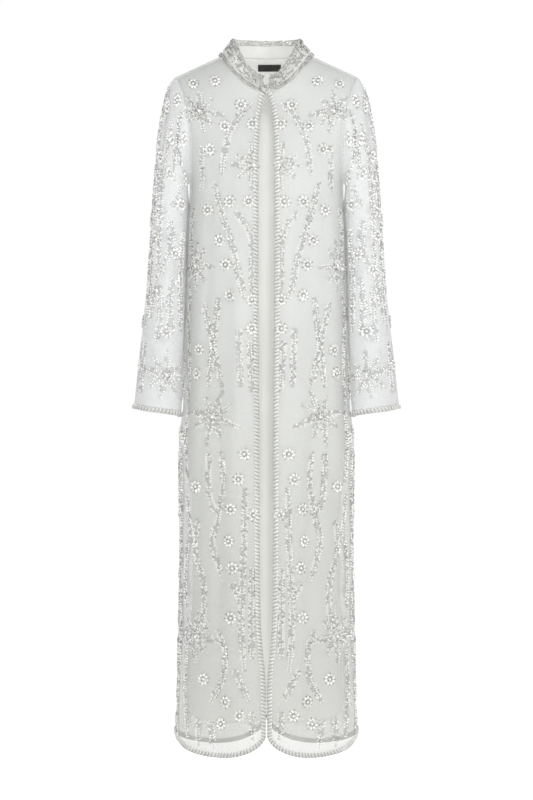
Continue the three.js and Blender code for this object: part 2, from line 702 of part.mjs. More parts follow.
// Collar: a band that leans in, from the neck seam up
function collarPoint(turn, rise) {
  // turn runs from the wearer's left front end (0) round the back (1) to the right end (2)
  const half = turn <= 1 ? turn : 2 - turn;
  const way = turn <= 1 ? 1 : -1;
  const side = half < 0.5 ? FRONT : BACK;
  const share = Math.min(half, 1 - half) / 0.5;
  const start = side === FRONT ? COLLAR_GAP_SEAM : 0;
  const x = lerp(start, NECK_HALF, Math.sin((share * Math.PI) / 2));
  const z = neckLevel(side, x);
  const seam = bodyFace(side)(angleOf(x, z), z);
  if (share > 0.999) seam.setY(SIDE_SEAM_Y);
  const topStart = side === FRONT ? COLLAR_GAP_TOP : 0;
  const topX = lerp(topStart, COLLAR_TOP_HALF, (x - start) / (NECK_HALF - start));
  const top = new THREE.Vector3(topX, seam.y * COLLAR_TOP_DEPTH, z + COLLAR_HEIGHT);
  const point = seam.lerp(top, rise).setX(way * lerp(x, topX, rise));
  return point.add(new THREE.Vector3(0, 0, COLLAR_LIFT));
}

// The collar's columns stand on those of the panels under it.
const collarTurns = Array.from({ length: 2 * COLUMNS + 1 }, (_, j) => {
  const quarter = Math.floor(j / (COLUMNS / 2));
  const share = spread(j % (COLUMNS / 2), COLUMNS);
  const backward = spread(COLUMNS / 2 - (j % (COLUMNS / 2)), COLUMNS);
  return quarter % 2 ? (quarter + 1) / 2 - backward : quarter / 2 + share;
});

const collarGrid = () =>
  [1, 0.5, 0].map((rise) => collarTurns.map((turn) => collarPoint(turn, rise)));

function gridNormals(grid, turned) {
  return grid.map((row, i) =>
    row.map((_, j) => {
      const down = grid[Math.min(i + 1, grid.length - 1)][j].clone();
      down.sub(grid[Math.max(i - 1, 0)][j]);
      const across = row[Math.min(j + 1, row.length - 1)].clone().sub(row[Math.max(j - 1, 0)]);
      return down.cross(across).multiplyScalar(turned).normalize();
    }),
  );
}

function collar() {
  const outer = collarGrid();
  const normals = gridNormals(outer, 1);
  const inner = outer.map((row, i) =>
    row.map((p, j) => p.clone().addScaledVector(normals[i][j], -COLLAR_WALL)),
  );
  return toGeometry(wallMesh(outer, inner, 1));
}

// Braid: a flat-topped cord swept along a path. at(step, inward, height) gives its points.
function braid(steps, at, closed = false) {
  const { wide, high, top } = BRAID;
  const section = [
    [0, 0],
    [wide, 0],
    [(wide + top) / 2, high],
    [(wide - top) / 2, high],
  ];
  const rows = [];
  for (let i = 0; i < (closed ? steps : steps + 1); i += 1)
    rows.push(section.map(([inward, height]) => at(i / steps, inward, height)));
  const count = section.length;
  const points = rows.flat();
  const faces = [];
  const spans = closed ? rows.length : rows.length - 1;
  for (let i = 0; i < spans; i += 1)
    for (let k = 0; k < count; k += 1) {
      const [a, b] = [i * count + k, i * count + ((k + 1) % count)];
      const shift = (((i + 1) % rows.length) - i) * count;
      faces.push([a, b, b + shift], [a, b + shift, a + shift]);
    }
  if (!closed) {
    const last = (rows.length - 1) * count;
    faces.push([0, 2, 1], [0, 3, 2], [last, last + 1, last + 2], [last, last + 2, last + 3]);
  }
  const mesh = { points, faces };
  return toManifold(mesh).volume() < 0 ? flipped(mesh) : mesh;
}

// A path on the body in the plane of arc length and level, with its inward side.
function bodyEdge(face, path, turned) {
  return (share, inward, height) => {
    const [here, before, after] = [0, -0.004, 0.004].map((d) =>
      path(THREE.MathUtils.clamp(share + d, 0, 1)),
    );
    const metric = face(here.angle + 0.01, here.z).distanceTo(face(here.angle - 0.01, here.z)) / 0.02;
    const along = new THREE.Vector2((after.angle - before.angle) * metric, after.z - before.z);
    along.normalize();
    const angle = here.angle + (-along.y * inward) / metric;
    const z = here.z + along.x * inward;
    const normal = normalOf(face, angle, z, turned);
    return face(angle, z).addScaledVector(normal, LIFT + height);
  };
}

// The front braid runs down the front edge and round the scallop to the side seam. Its steps are
// the panel's own rows and columns.
const EDGE_ROWS = ROWS_TOP + ROWS_SKIRT;
const SIDE_STOP = 0.012; // radians left before the side seam
const HEM_START = angleOf(frontGap(HEM_LOW), HEM_LOW);

function frontEdgePath(share) {
  const step = share * (EDGE_ROWS + COLUMNS);
  if (step > EDGE_ROWS) return hemPath(step - EDGE_ROWS, HEM_START);
  const top = neckLevel(FRONT, 0);
  const down = (1 - Math.cos((Math.PI * step) / ROWS_TOP)) / 2;
  const z =
    step < ROWS_TOP
      ? lerp(top, UNDERARM, down)
      : lerp(UNDERARM, hemLevel(HEM_START), (step - ROWS_TOP) / ROWS_SKIRT);
  return { angle: angleOf(frontGap(z), z), z };
}

// A point of a scalloped hem at one of its columns.
function hemPath(column, from) {
  const angle = lerp(from, Math.PI / 2, spread(column, COLUMNS));
  return { angle: Math.min(angle, Math.PI / 2 - SIDE_STOP), z: hemLevel(angle) };
}

function backHemPath(share) {
  const column = (2 * share - 1) * COLUMNS;
  const half = hemPath(Math.abs(column), 0);
  return { angle: Math.sign(column) * half.angle, z: half.z };
}

const frontBraid = () =>
  toGeometry(braid(EDGE_ROWS + COLUMNS, bodyEdge(netFront, frontEdgePath, 1)));
const backBraid = () => toGeometry(braid(2 * COLUMNS, bodyEdge(netBack, backHemPath, -1)));

function cuffBraid() {
  const at = (share, inward, height) => {
    const round = share * 2 * Math.PI;
    const down = 2 - inward / (CAP_END - CUFF);
    const point = sleeveFace(round, down);
    const across = sleeveFace(round + 0.02, down).sub(sleeveFace(round - 0.02, down));
    const below = sleeveFace(round, down + 0.01).sub(point);
    const normal = across.cross(below).normalize();
    return point.addScaledVector(normal, CUFF_LIFT + height);
  };
  return toGeometry(braid(2 * ROWS_TOP, at, true));
}

// The collar's braid runs round its whole edge: seam, end, top and the other end.
function collarBraid() {
  const stations = [
    ...collarTurns.map((turn) => ({ turn, level: 0 })),
    { turn: 2, level: 0.5 },
    ...[...collarTurns].reverse().map((turn) => ({ turn, level: 1 })),
    { turn: 0, level: 0.5 },
  ];
  const height = collarPoint(1, 1).distanceTo(collarPoint(1, 0));
  const at = (share, inward, high) => {
    const station = stations[Math.round(share * stations.length)];
    const rise = lerp(inward / height, 1 - inward / height, station.level);
    const end = inward / lerp(NECK_HALF, COLLAR_TOP_HALF, rise) / Math.PI;
    const turn = THREE.MathUtils.clamp(station.turn, end, 2 - end);
    return collarPoint(turn, rise).addScaledVector(collarNormal(turn, rise), LIFT + high);
  };
  return toGeometry(braid(stations.length, at, true));
}

function collarNormal(turn, level) {
  const across = collarPoint(Math.min(turn + 0.02, 2), level);
  across.sub(collarPoint(Math.max(turn - 0.02, 0), level));
  const up = collarPoint(turn, 1).sub(collarPoint(turn, 0));
  return across.cross(up).normalize();
}

// The tab that closes the neck: a rounded plate over the two ends of the collar's braid
function closingTab() {
  const [w, h] = [TAB.wide / 2, TAB.high / 2];
  const outline = new THREE.Shape();
  outline.moveTo(-w, h);
  outline.lineTo(-w, 0);
  outline.absellipse(0, 0, w, h, Math.PI, 2 * Math.PI, false);
  outline.lineTo(w, h);
  outline.closePath();
  return new THREE.ExtrudeGeometry(outline, {
    depth: TAB.thick,
    bevelEnabled: false,
    curveSegments: 6,
  });
}

// Materials
const cloth = (color, roughness, extra = {}) =>
  new THREE.MeshStandardMaterial({ color, roughness, metalness: 0, side: THREE.DoubleSide, ...extra });
const net = cloth(0xe6e6e3, 0.75);
const satin = cloth(0xefefec, 0.6);
const beadwork = cloth(0xc9c8c2, 0.35, { metalness: 0.2 });
const woven = cloth(0x151514, 0.7);

const kaftan = new THREE.Group();
function add(name, geometry, material, place = {}) {
  const mesh = new THREE.Mesh(geometry, material);
  mesh.name = name;
  if (place.position) mesh.position.set(...place.position);
  if (place.rotation) mesh.rotation.set(...place.rotation);
  if (place.mirror) mesh.scale.x = -1;
  kaftan.add(mesh);
}
// A left piece and its mirrored right one.
function addPair(name, geometry, material) {
  add(`${name}_left`, geometry, material);
  add(`${name}_right`, geometry.clone(), material, { mirror: true });
}

addPair("front", fromManifold(frontPanel()), net);
add("back", fromManifold(backPanel()), net);
addPair("sleeve", fromManifold(sleeve()), net);
addPair("lining_front", liningPanel(FRONT), satin);
add("lining_back", liningPanel(BACK), satin);
add("collar", collar(), net);
add("collar_braid", collarBraid(), beadwork);
addPair("edge_braid", frontBraid(), beadwork);
add("hem_braid_back", backBraid(), beadwork);
addPair("cuff_braid", cuffBraid(), beadwork);

const tabFace = collarPoint(0, 0.3).y - BRAID.high - TAB.proud;
add("closing_tab", closingTab(), beadwork, {
  position: [TAB.x, tabFace, TAB.z],
  rotation: [Math.PI / 2 - TAB.tilt, 0, 0],
});

// The neck label lies on the inside of the back lining.
const labelInset = (z) => liningInset(z) + LINING + LABEL.gap;
const labelFace = bodyFace(BACK, { ...liningShape, inset: labelInset });
const labelGrid = [0, 0.5, 1].map((down) =>
  [-0.5, -0.25, 0, 0.25, 0.5].map((across) => {
    const z = LABEL.z - LABEL.high * down;
    return { angle: angleOf(LABEL.x + LABEL.wide * across, z), z };
  }),
);
add("neck_label", toGeometry(clothWall(labelFace, labelGrid, LABEL.thick, -1)), woven);

export default kaftan;
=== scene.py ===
# %% [markdown]
# A kaftan is a long robe, open down the front. This one is sheer net, worked all over with
# glass beads, over a plain white lining, and it stands as if worn. It is rebuilt from the inside
# out: first the form of the body, then cloth on that form, then beads on the cloth.
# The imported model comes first, because every piece below takes its place from it.

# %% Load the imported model
import math

import bmesh
import bpy
import numpy as np
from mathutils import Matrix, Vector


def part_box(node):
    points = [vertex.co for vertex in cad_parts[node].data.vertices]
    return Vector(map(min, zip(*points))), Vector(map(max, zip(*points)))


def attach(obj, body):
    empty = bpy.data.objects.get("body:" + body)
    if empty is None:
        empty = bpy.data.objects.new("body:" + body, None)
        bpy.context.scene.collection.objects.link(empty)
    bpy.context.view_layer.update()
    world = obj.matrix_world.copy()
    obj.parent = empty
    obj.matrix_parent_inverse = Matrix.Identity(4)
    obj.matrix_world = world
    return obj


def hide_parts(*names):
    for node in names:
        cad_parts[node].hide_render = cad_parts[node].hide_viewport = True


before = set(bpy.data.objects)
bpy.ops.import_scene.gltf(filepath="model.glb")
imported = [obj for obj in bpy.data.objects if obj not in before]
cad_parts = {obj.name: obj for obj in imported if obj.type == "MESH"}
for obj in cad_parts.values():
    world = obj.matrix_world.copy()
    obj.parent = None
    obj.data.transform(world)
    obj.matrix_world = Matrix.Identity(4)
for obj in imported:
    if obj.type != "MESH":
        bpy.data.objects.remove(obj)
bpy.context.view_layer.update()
MM = 0.001
pieces = {}  # every finished piece of the robe, by its name

# %% [markdown]
# The camera stands level with the middle of the robe and five metres off, as a shop's camera
# does, so that the front is seen almost without perspective. The lens follows from how much of
# the robe the picture takes in from top to bottom.

# %% Camera
CAMERA_AWAY = 5.0
CAMERA_LEVEL = -0.669
VIEW_HEIGHT = 1.56  # what the frame takes in at the robe, from top to bottom
SENSOR = 36  # millimetres

lens = bpy.data.cameras.new("camera")
lens.sensor_width = SENSOR
lens.lens = SENSOR * CAMERA_AWAY / VIEW_HEIGHT
camera = bpy.data.objects.new("camera", lens)
camera.location = (0, -CAMERA_AWAY, CAMERA_LEVEL)
camera.rotation_euler = (math.radians(90), 0, 0)
scene = bpy.context.scene
scene.collection.objects.link(camera)
scene.camera = camera
scene.view_settings.view_transform = "Standard"
print("a lens of", round(lens.lens, 1), "mm")

# %% [markdown]
# Two small helpers serve every material below. One turns a colour as a painter writes it into
# the linear light that the renderer counts in. The other adds a node with its settings and links.

# %% Colour and node helpers
WAVE = math.pi / 10  # length of one wave of a wave texture whose scale is 1


def linear(colour):
    """A colour such as "E8E6DF" in linear light."""
    parts = [int(colour[i : i + 2], 16) / 255 for i in (0, 2, 4)]
    return [c / 12.92 if c <= 0.04045 else ((c + 0.055) / 1.055) ** 2.4 for c in parts] + [1.0]


def node(tree, kind, inputs=None, **settings):
    """Adds a node. An input is given a value, or a socket that is linked to it."""
    made = tree.nodes.new(kind)
    for name, value in settings.items():
        setattr(made, name, value)
    for key, value in (inputs or {}).items():
        if isinstance(value, bpy.types.NodeSocket):
            tree.links.new(value, made.inputs[key])
        else:
            made.inputs[key].default_value = value
    return made


def finish(name, build):
    """A material of that name. build fills its empty tree and returns the surface."""
    material = bpy.data.materials.new(name)
    material.use_nodes = True
    tree = material.node_tree
    tree.nodes.clear()
    surface = build(tree)
    node(tree, "ShaderNodeOutputMaterial", {"Surface": surface.outputs[0]})
    return material


print("the grey 808080 is", round(linear("808080")[0], 3), "in linear light")

# %% [markdown]
# The studio has a low white wall all round and a high one behind the robe. Above the camera it
# is dim, so the beads have something bright and something dark to reflect, and light comes
# through the sheer cloth from behind. A narrow light behind the camera reaches in through the
# open front. A larger one stands at the right and brings out the folds.
# Two soft steps in the world's brightness do what big white boards do in a real studio.

# %% Studio
FLOOR_LEVEL = -1.45
FLOOR_HALF = 30.0

world = bpy.data.worlds.new("studio")
scene.world = world
world.use_nodes = True
sky = world.node_tree
sky.nodes.clear()
looking = node(sky, "ShaderNodeTexCoord")
toward = node(sky, "ShaderNodeSeparateXYZ", {0: looking.outputs["Generated"]})
backdrop = node(sky, "ShaderNodeMapRange", {0: toward.outputs["Y"], 1: -0.1, 2: 0.4,
                                            3: 0.32, 4: 1.02})
low_wall = node(sky, "ShaderNodeMapRange", {0: toward.outputs["Z"], 1: 0.15, 2: 0.3,
                                            3: 1.02, 4: 0.0})
shade = node(sky, "ShaderNodeMath", {0: backdrop.outputs[0], 1: low_wall.outputs[0]},
             operation="MAXIMUM")
back_light = node(sky, "ShaderNodeBackground", {"Color": linear("FFFFFF"),
                                                "Strength": shade.outputs[0]})
node(sky, "ShaderNodeOutputWorld", {"Surface": back_light.outputs[0]})


def soft_light(name, stand, aim, size, watts):
    """A lamp with a soft rectangular front, turned to the place that it is aimed at."""
    light = bpy.data.lights.new(name, "AREA")
    light.shape = "RECTANGLE"
    light.size, light.size_y = size
    light.energy = watts
    lamp = bpy.data.objects.new(name, light)
    lamp.location = stand
    direction = np.array(aim) - np.array(stand)
    flat = math.hypot(direction[0], direction[1])
    lamp.rotation_euler = (math.pi / 2 + math.atan2(direction[2], flat), 0,
                           math.atan2(-direction[0], direction[1]))
    scene.collection.objects.link(lamp)


soft_light("front_light", (0.12, -5.4, 0.1), (0, 0, -0.3), (0.6, 1.6), 172)
soft_light("key_light", (2.4, -2.0, 0.9), (0, 0, -0.4), (0.9, 1.4), 22)


def paper(tree):
    """White studio paper, lit so brightly that it gives no edge. Its grain is 2.5 mm wide."""
    grain = node(tree, "ShaderNodeTexNoise", {"Scale": 1 / (2.5 * MM)})
    bump = node(tree, "ShaderNodeBump", {"Strength": 0.05, "Height": grain.outputs[0]})
    return node(tree, "ShaderNodeBsdfPrincipled",
                {"Base Color": linear("F2F2F0"), "Roughness": 0.9, "Normal": bump.outputs[0],
                 "Emission Color": linear("FFFFFF"), "Emission Strength": 0.5})


floor_mesh = bpy.data.meshes.new("floor")
corners = [(-1, -1), (1, -1), (1, 1), (-1, 1)]
floor_mesh.from_pydata([(x * FLOOR_HALF, y * FLOOR_HALF, FLOOR_LEVEL) for x, y in corners], [],
                       [(0, 1, 2, 3)])
floor = bpy.data.objects.new("floor", floor_mesh)
scene.collection.objects.link(floor)
floor_mesh.materials.append(finish("studio_paper", paper))
print("the floor lies at", FLOOR_LEVEL, "m")

# %% [markdown]
# The form of the robe is a table of widths and depths by height, as a dressmaker measures a
# stand: a curve runs smoothly through each column. It could be sculpted instead, but a table is
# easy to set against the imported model. Every size here is in millimetres, and only a finished
# mesh is turned into metres.

# %% Curves through a table
def mix(a, b, t):
    return a * (1 - t) + b * t


def smoothstep(value, low, high):
    t = np.clip((value - low) / (high - low), 0, 1)
    return t * t * (3 - 2 * t)


def hermite(start, end, leave, arrive, t):
    """A curve from start to end that leaves and arrives at the slopes given."""
    s = t * t * (3 - 2 * t)
    return start * (1 - s) + end * s + leave * t * (1 - t) ** 2 - arrive * t * t * (1 - t)


def curve(table, column):
    """A smooth curve through one column of a table, read by its first column."""
    rows = np.array(sorted(table), dtype=float)
    level, value = rows[:, 0], rows[:, column]
    order = np.arange(len(rows))
    before = np.maximum(order - 1, 0)
    after = np.minimum(order + 1, len(rows) - 1)
    slope = (value[after] - value[before]) / (level[after] - level[before])

    def at(z):
        i = np.clip(np.searchsorted(level, z) - 1, 0, len(rows) - 2)
        span = level[i + 1] - level[i]
        t = np.clip((z - level[i]) / span, 0, 1)
        return hermite(value[i], value[i + 1], slope[i] * span, slope[i + 1] * span, t)

    return at


passes = float(curve([(0, 0), (1, 1), (2, 4)], 1)(1.5))
print("a curve through 0, 1 and 4 passes", round(passes, 2), "halfway from 1 to 4")


# %% [markdown]
# Half widths are measured from the middle, and depths from the side seams to the front and to
# the back. The robe narrows under the arms, widens a little to the hem and never nips in at the
# waist. Its front edges stand apart and meet only near the hem.

# %% Sizes of the body
FRONT, BACK = -1, 1
LEFT, RIGHT = 1, -1  # the wearer's
HANDS = ((LEFT, "left"), (RIGHT, "right"))
SEAM = 0.3  # between two sheets that are sewn together
NECK_HALF = 92
NECK_DROP = 80
NAPE_RISE = 2
NECK_CURVE = {FRONT: 1.9, BACK: 2}  # how round the neck is cut
SHOULDER_HALF = 176
SHOULDER_SLOPE = 0.46
SHOULDER_ROUND = 110  # length over which the shoulder bends from level to upright
SHOULDER_SINK = 0.9
UNDERARM = -248
SIDE_SEAM_Y = 4
FLATTEN = 0.25  # how much flatter than an ellipse the body is at its front and back
FOLD_SIDEWAYS = 0.3
HEM_LOW = -1352

# level, half width, depth before and behind the side seams
BODY = [
    (60, 240, 76, 66), (0, 224, 80, 76), (-80, 204, 84, 92), (-150, 175, 104, 99),
    (-190, 163, 114, 101), (-225, 155.5, 121, 102), (-248, 150, 124, 102),
    (-355, 155, 126, 100), (-472, 158, 126, 100), (-589, 161, 128, 108), (-680, 163, 129, 113),
    (-750, 171, 129, 115), (-1000, 170, 129, 117), (-1150, 173.5, 129, 119),
    (-1250, 175.5, 128, 120), (-1360, 179, 127, 121),
]
# level, half the gap between the front edges
FRONT_GAP = [
    (-60, 1.6), (-82, 1.6), (-97, 6), (-121, 11), (-160, 13.8), (-205, 15), (-470, 15),
    (-670, 13.5), (-1000, 12.5), (-1095, 10.5), (-1150, 6.5), (-1190, 2.6), (-1225, 1.4),
    (-1360, 1.4),
]
# level, how far the armhole seam lies from the middle
ARMHOLE = [
    (-38, 176.5), (-60, 167.5), (-100, 156), (-150, 149), (-190, 148), (-225, 149), (-248, 150),
]
body_half = curve(BODY, 1)
body_depth = {FRONT: curve(BODY, 2), BACK: curve(BODY, 3)}
front_gap = curve(FRONT_GAP, 1)
armhole_x = curve(ARMHOLE, 1)
print("the hem is", round(2 * float(body_half(HEM_LOW))), "mm wide")

# %% [markdown]
# Cloth that hangs from a shoulder falls in long soft folds. Each is a ridge or a trough that
# runs down the robe at an angle from its middle, and fades out at the top. The finer creases
# differ from left to right and lean a little, as real ones do. A cloth simulation makes folds as
# well, but not these ones in these places.

# %% Folds
# angle from the middle, width and depth, level where it starts and where it is at its fullest
FOLDS = {
    FRONT: [(15, 10, 3, -420, -900), (37, 11, -3.6, -300, -800), (56, 11, 3.6, -200, -620),
            (74, 10, -4, -330, -900)],
    BACK: [(8, 10, 3.2, -380, -900), (29, 11, -3.8, -260, -760), (50, 11, 3.6, -330, -860),
           (70, 10, -4, -300, -820)],
}
# side of the robe, angle at the top and at the foot, width, depth, level of the top and the foot
CREASES = [
    (FRONT, 9, 12, 2.6, -1.7, -250, -720),
    (FRONT, 24, 21, 3.2, 1.9, -330, -1100),
    (FRONT, 31, 27, 3.0, -1.8, -560, -1352),
    (FRONT, 46, 48, 3.4, -2.2, -150, -900),
    (FRONT, 52, 44, 2.8, 1.5, -80, -330),
    (FRONT, 64, 66, 3.0, -2.0, -640, -1352),
    (FRONT, 80, 78, 3.0, 1.8, -420, -1352),
    (FRONT, 17, 30, 3.4, -1.4, -110, -300),
    (FRONT, -11, -8, 2.8, -1.6, -300, -860),
    (FRONT, -21, -25, 3.2, 2.0, -380, -1250),
    (FRONT, -34, -31, 3.0, -1.8, -640, -1352),
    (FRONT, -44, -49, 3.4, -2.3, -170, -980),
    (FRONT, -54, -46, 2.8, 1.5, -90, -350),
    (FRONT, -66, -63, 3.0, -1.9, -560, -1352),
    (FRONT, -79, -81, 3.0, 1.8, -460, -1352),
    (FRONT, -19, -31, 3.2, -1.3, -120, -320),
    (BACK, 3, 16, 3.2, -2.0, -360, -1352),
    (BACK, 19, 22, 3.0, 1.8, -520, -1352),
    (BACK, 38, 41, 3.2, -2.1, -180, -1150),
    (BACK, 60, 57, 3.2, -1.8, -480, -1352),
    (BACK, 79, 76, 3.0, 1.8, -300, -1352),
    (BACK, 34, 12, 4.0, -1.5, -90, -320),
    (BACK, -6, -17, 3.2, -1.9, -420, -1352),
    (BACK, -21, -24, 3.0, 1.8, -460, -1300),
    (BACK, -40, -37, 3.2, -2.2, -200, -1200),
    (BACK, -59, -61, 3.2, -1.8, -520, -1352),
    (BACK, -77, -80, 3.0, 1.8, -340, -1352),
    (BACK, -32, -14, 4.0, -1.4, -100, -340),
]
CREASE_FADE = 130  # length over which a crease fades in and out
CREASE_DEEPER = 1.7  # how much deeper the creases are drawn than the table says


def fold_depth(folds, degrees, z):
    """How far the wide folds push the cloth out at an angle and a level."""
    total = 0
    for at, wide, deep, top, full in folds:
        total = total + deep * np.exp(-(((degrees - at) / wide) ** 2)) * (
            1 - smoothstep(z, full, top))
    return total


def crease_depth(creases, degrees, z):
    """The same for the fine creases, which lean and may end above the hem."""
    total = 0
    for at, foot_at, wide, deep, top, foot in creases:
        middle = mix(at, foot_at, np.clip((top - z) / (top - foot), 0, 1))
        fade = 1 - smoothstep(z, top - CREASE_FADE, top)
        if foot > HEM_LOW:
            fade = fade * smoothstep(z, foot, foot + CREASE_FADE)
        total = total + deep * np.exp(-(((degrees - middle) / wide) ** 2)) * fade
    return CREASE_DEEPER * total


print(len(CREASES), "creases, up to", round(CREASE_DEEPER * max(abs(c[4]) for c in CREASES), 1),
      "mm deep")


# %% [markdown]
# One function gives every layer of the body. The net lies on the form itself, and the lining
# lies inside it, narrower below the hips. It follows less of the wide folds, and all of the
# creases.

# %% The body as a surface
def no_offset(z):
    return 0 * z


def lining_inset(z):
    """How far the lining lies inside the net."""
    return mix(9, 6.4, smoothstep(z, -400, -60))


def lining_narrower(z):
    """How much less than the net the lining reaches sideways."""
    return mix(26, 4, smoothstep(z, -900, -560))


NET_LAYER = {"inset": no_offset, "narrow": no_offset, "folded": 1.0}
LINING_LAYER = {"inset": lining_inset, "narrow": lining_narrower, "folded": 0.4}


def ridge(x):
    """Level of the shoulder line over a point x from the middle."""
    return -SHOULDER_SLOPE * (np.abs(x) - NECK_HALF)


def body_point(side, angle, z, layer=NET_LAYER):
    """A point of a layer of the front or the back, at an angle from the middle and a level."""
    degrees = np.degrees(angle)
    bulge = layer["folded"] * fold_depth(FOLDS[side], np.abs(degrees), z)
    fine = [c[1:] for c in CREASES if c[0] == side]
    crease = crease_depth(fine, degrees, z)
    half = body_half(z) - layer["narrow"](z) + FOLD_SIDEWAYS * bulge
    x = half * np.sin(angle)
    below = np.clip((ridge(x) - z) / SHOULDER_ROUND, 0, 1)
    turn = np.sqrt(1 - (1 - below) ** 2)
    c = np.cos(angle)
    inset = layer["inset"](z)
    depth = (body_depth[side](z) + bulge + crease - inset) * c * (1 + FLATTEN * (1 - np.abs(c)))
    drop = inset * (1 - turn) * SHOULDER_SINK
    return np.stack([x, SIDE_SEAM_Y + side * (depth * turn + SEAM / 2), z - drop], axis=-1)


def angle_of(x, z, narrow=0):
    """The angle at which the body reaches x from the middle at a level."""
    return np.arcsin(np.clip(x / (body_half(z) - narrow), -1, 1))


def neck_level(side, x):
    """Level of the neck's seam over a point x from the middle."""
    share = np.abs(x) / NECK_HALF
    drop = -NECK_DROP if side == FRONT else NAPE_RISE
    return drop * (1 - share ** NECK_CURVE[side])


chest = body_point(FRONT, 0.3, UNDERARM)[1], body_point(BACK, 0.3, UNDERARM)[1]
print("the chest is", round(float(chest[1] - chest[0])), "mm deep")


# %% [markdown]
# A panel has to end exactly on its seams: neck, shoulder, armhole and side, and a scalloped hem.
# Cut out of a grid with a knife, its edges would be ragged. So the grid is blended between its
# four edges, and each of its rows and columns ends on a seam.

# %% Edges of a panel
SHOULDER_TIP = -SHOULDER_SLOPE * (SHOULDER_HALF - NECK_HALF)
SCALLOP = {"low": HEM_LOW, "rise": 50, "rise_side": 38}
LINING_SCALLOP = {"low": -1286, "rise": 14, "rise_side": 14}


def armhole_seam(share):
    """The armhole's seam from the shoulder (0) to the underarm (1), as x and z."""
    z = mix(SHOULDER_TIP, UNDERARM, (1 - np.cos(np.pi * share)) / 2)
    return np.where(share == 0, SHOULDER_HALF, armhole_x(z)), z


def top_seam(side, share, start):
    """The neck seam and then the shoulder seam, from the middle (0) to the shoulder (1)."""
    neck_x = mix(start, NECK_HALF, np.sin(np.minimum(share, 0.5) * np.pi))
    shoulder_x = mix(NECK_HALF, SHOULDER_HALF, np.maximum(share - 0.5, 0) * 2)
    on_neck = share < 0.5
    x = np.where(on_neck, neck_x, shoulder_x)
    return x, np.where(on_neck, neck_level(side, neck_x), ridge(shoulder_x))


def hem_level(angle, scallop):
    """The hem's scallop: lowest halfway between the middle and the side, higher at both."""
    across = 2 * np.abs(np.sin(angle)) - 1
    rise = np.where(across < 0, scallop["rise"], scallop["rise_side"])
    return scallop["low"] + rise * (1 - np.sqrt(1 - across * across))


print("the shoulder ends", round(-SHOULDER_TIP), "mm below the neck")


def half_panel(side, columns, rows_top, rows_skirt, edge, scallop, narrow=no_offset):
    """Angle and level of each point of half a panel, from the top seam down to the hem."""
    u = np.linspace(0, 1, columns + 1)[None, :]
    v = np.linspace(0, 1, rows_top + 1)[:, None]
    down = (1 - np.cos(np.pi * v)) / 2

    def along(share, z):
        return mix(angle_of(edge(z), z, narrow(z)), np.pi / 2, share)

    level = float(UNDERARM)
    start = float(edge(neck_level(side, 0.0)))
    top_z = float(neck_level(side, 0.0))
    top = top_seam(side, u, start)
    left_z = mix(top_z, level, down)
    left = edge(left_z), left_z
    right = armhole_seam(v)
    bottom = body_half(level) * np.sin(along(u, level)), level
    ends = (float(edge(level)), level), (float(body_half(level)), level)
    tops = (start, top_z), (SHOULDER_HALF, SHOULDER_TIP)
    x, z = [
        mix(top[k], bottom[k], down) + mix(left[k], right[k], u)
        - mix(mix(tops[0][k], tops[1][k], u), mix(ends[0][k], ends[1][k], u), down)
        for k in (0, 1)
    ]
    foot = hem_level(along(u, float(HEM_LOW)), scallop)
    skirt_z = mix(level, foot, np.linspace(0, 1, rows_skirt + 1)[1:, None])
    skirt = along(u, skirt_z)
    return np.vstack([angle_of(x, z), skirt]), np.vstack([z, skirt_z])


# %% [markdown]
# A grid of points becomes a mesh of four-sided faces. Its UV map is laid out in metres along
# the cloth, so a weave keeps its true size everywhere and follows the folds. A Solidify modifier
# gives the sheet its thickness, which is less work than a second layer of points.

# %% From a grid to cloth
def grid_faces(rows, columns, turned, ring=False):
    """The faces between the points of a grid; turned gives the side that they look to."""
    i, j = np.meshgrid(np.arange(rows - 1), np.arange(columns if ring else columns - 1),
                       indexing="ij")
    i, j = i.ravel(), j.ravel()
    nxt = (j + 1) % columns
    quad = np.stack([i * columns + j, (i + 1) * columns + j, (i + 1) * columns + nxt,
                     i * columns + nxt], axis=1)
    return quad if turned > 0 else quad[:, ::-1]


def measured(points):
    """How far each point of a grid lies along its row and down its column, in metres."""
    across = np.linalg.norm(np.diff(points, axis=1), axis=2)
    down = np.linalg.norm(np.diff(points, axis=0), axis=2)
    u = np.pad(np.cumsum(across, axis=1), ((0, 0), (1, 0)))
    v = np.pad(np.cumsum(down, axis=0), ((1, 0), (0, 0)))
    middle = u[:, -1:] / 2
    return np.stack([(u - middle) * MM, -v * MM], axis=-1).reshape(-1, 2)


def add_piece(name, mesh):
    """Puts a finished mesh in the scene as a piece of the robe."""
    pieces[name] = bpy.data.objects.new(name, mesh)
    scene.collection.objects.link(pieces[name])
    return pieces[name]


def make_object(name, points, faces, uv, material):
    """A smooth mesh of points in millimetres, each with its place on the flat cloth."""
    mesh = bpy.data.meshes.new(name)
    mesh.from_pydata((points * MM).tolist(), [], faces)
    layer = mesh.uv_layers.new(name="cloth")
    index = np.empty(len(mesh.loops), dtype=np.int32)
    mesh.loops.foreach_get("vertex_index", index)
    layer.data.foreach_set("uv", uv[index].ravel())
    mesh.polygons.foreach_set("use_smooth", np.ones(len(mesh.polygons), dtype=bool))
    mesh.materials.append(material)
    return add_piece(name, mesh)


def cloth(name, points, turned, material, thickness, ring=False):
    """A thin sheet on a grid of points, which gets its thickness inwards."""
    faces = grid_faces(*points.shape[:2], turned, ring)
    sheet = make_object(name, points.reshape(-1, 3), faces.tolist(), measured(points), material)
    wall = sheet.modifiers.new("thickness", "SOLIDIFY")
    wall.thickness = thickness * MM
    wall.offset = -1
    corners = points.reshape(-1, 3)[faces]
    area = np.linalg.norm(np.cross(corners[:, 2] - corners[:, 0], corners[:, 3] - corners[:, 1]),
                          axis=1).sum() / 2
    print(name, len(faces), "faces,", round(area * 1e-6, 4), "m2")


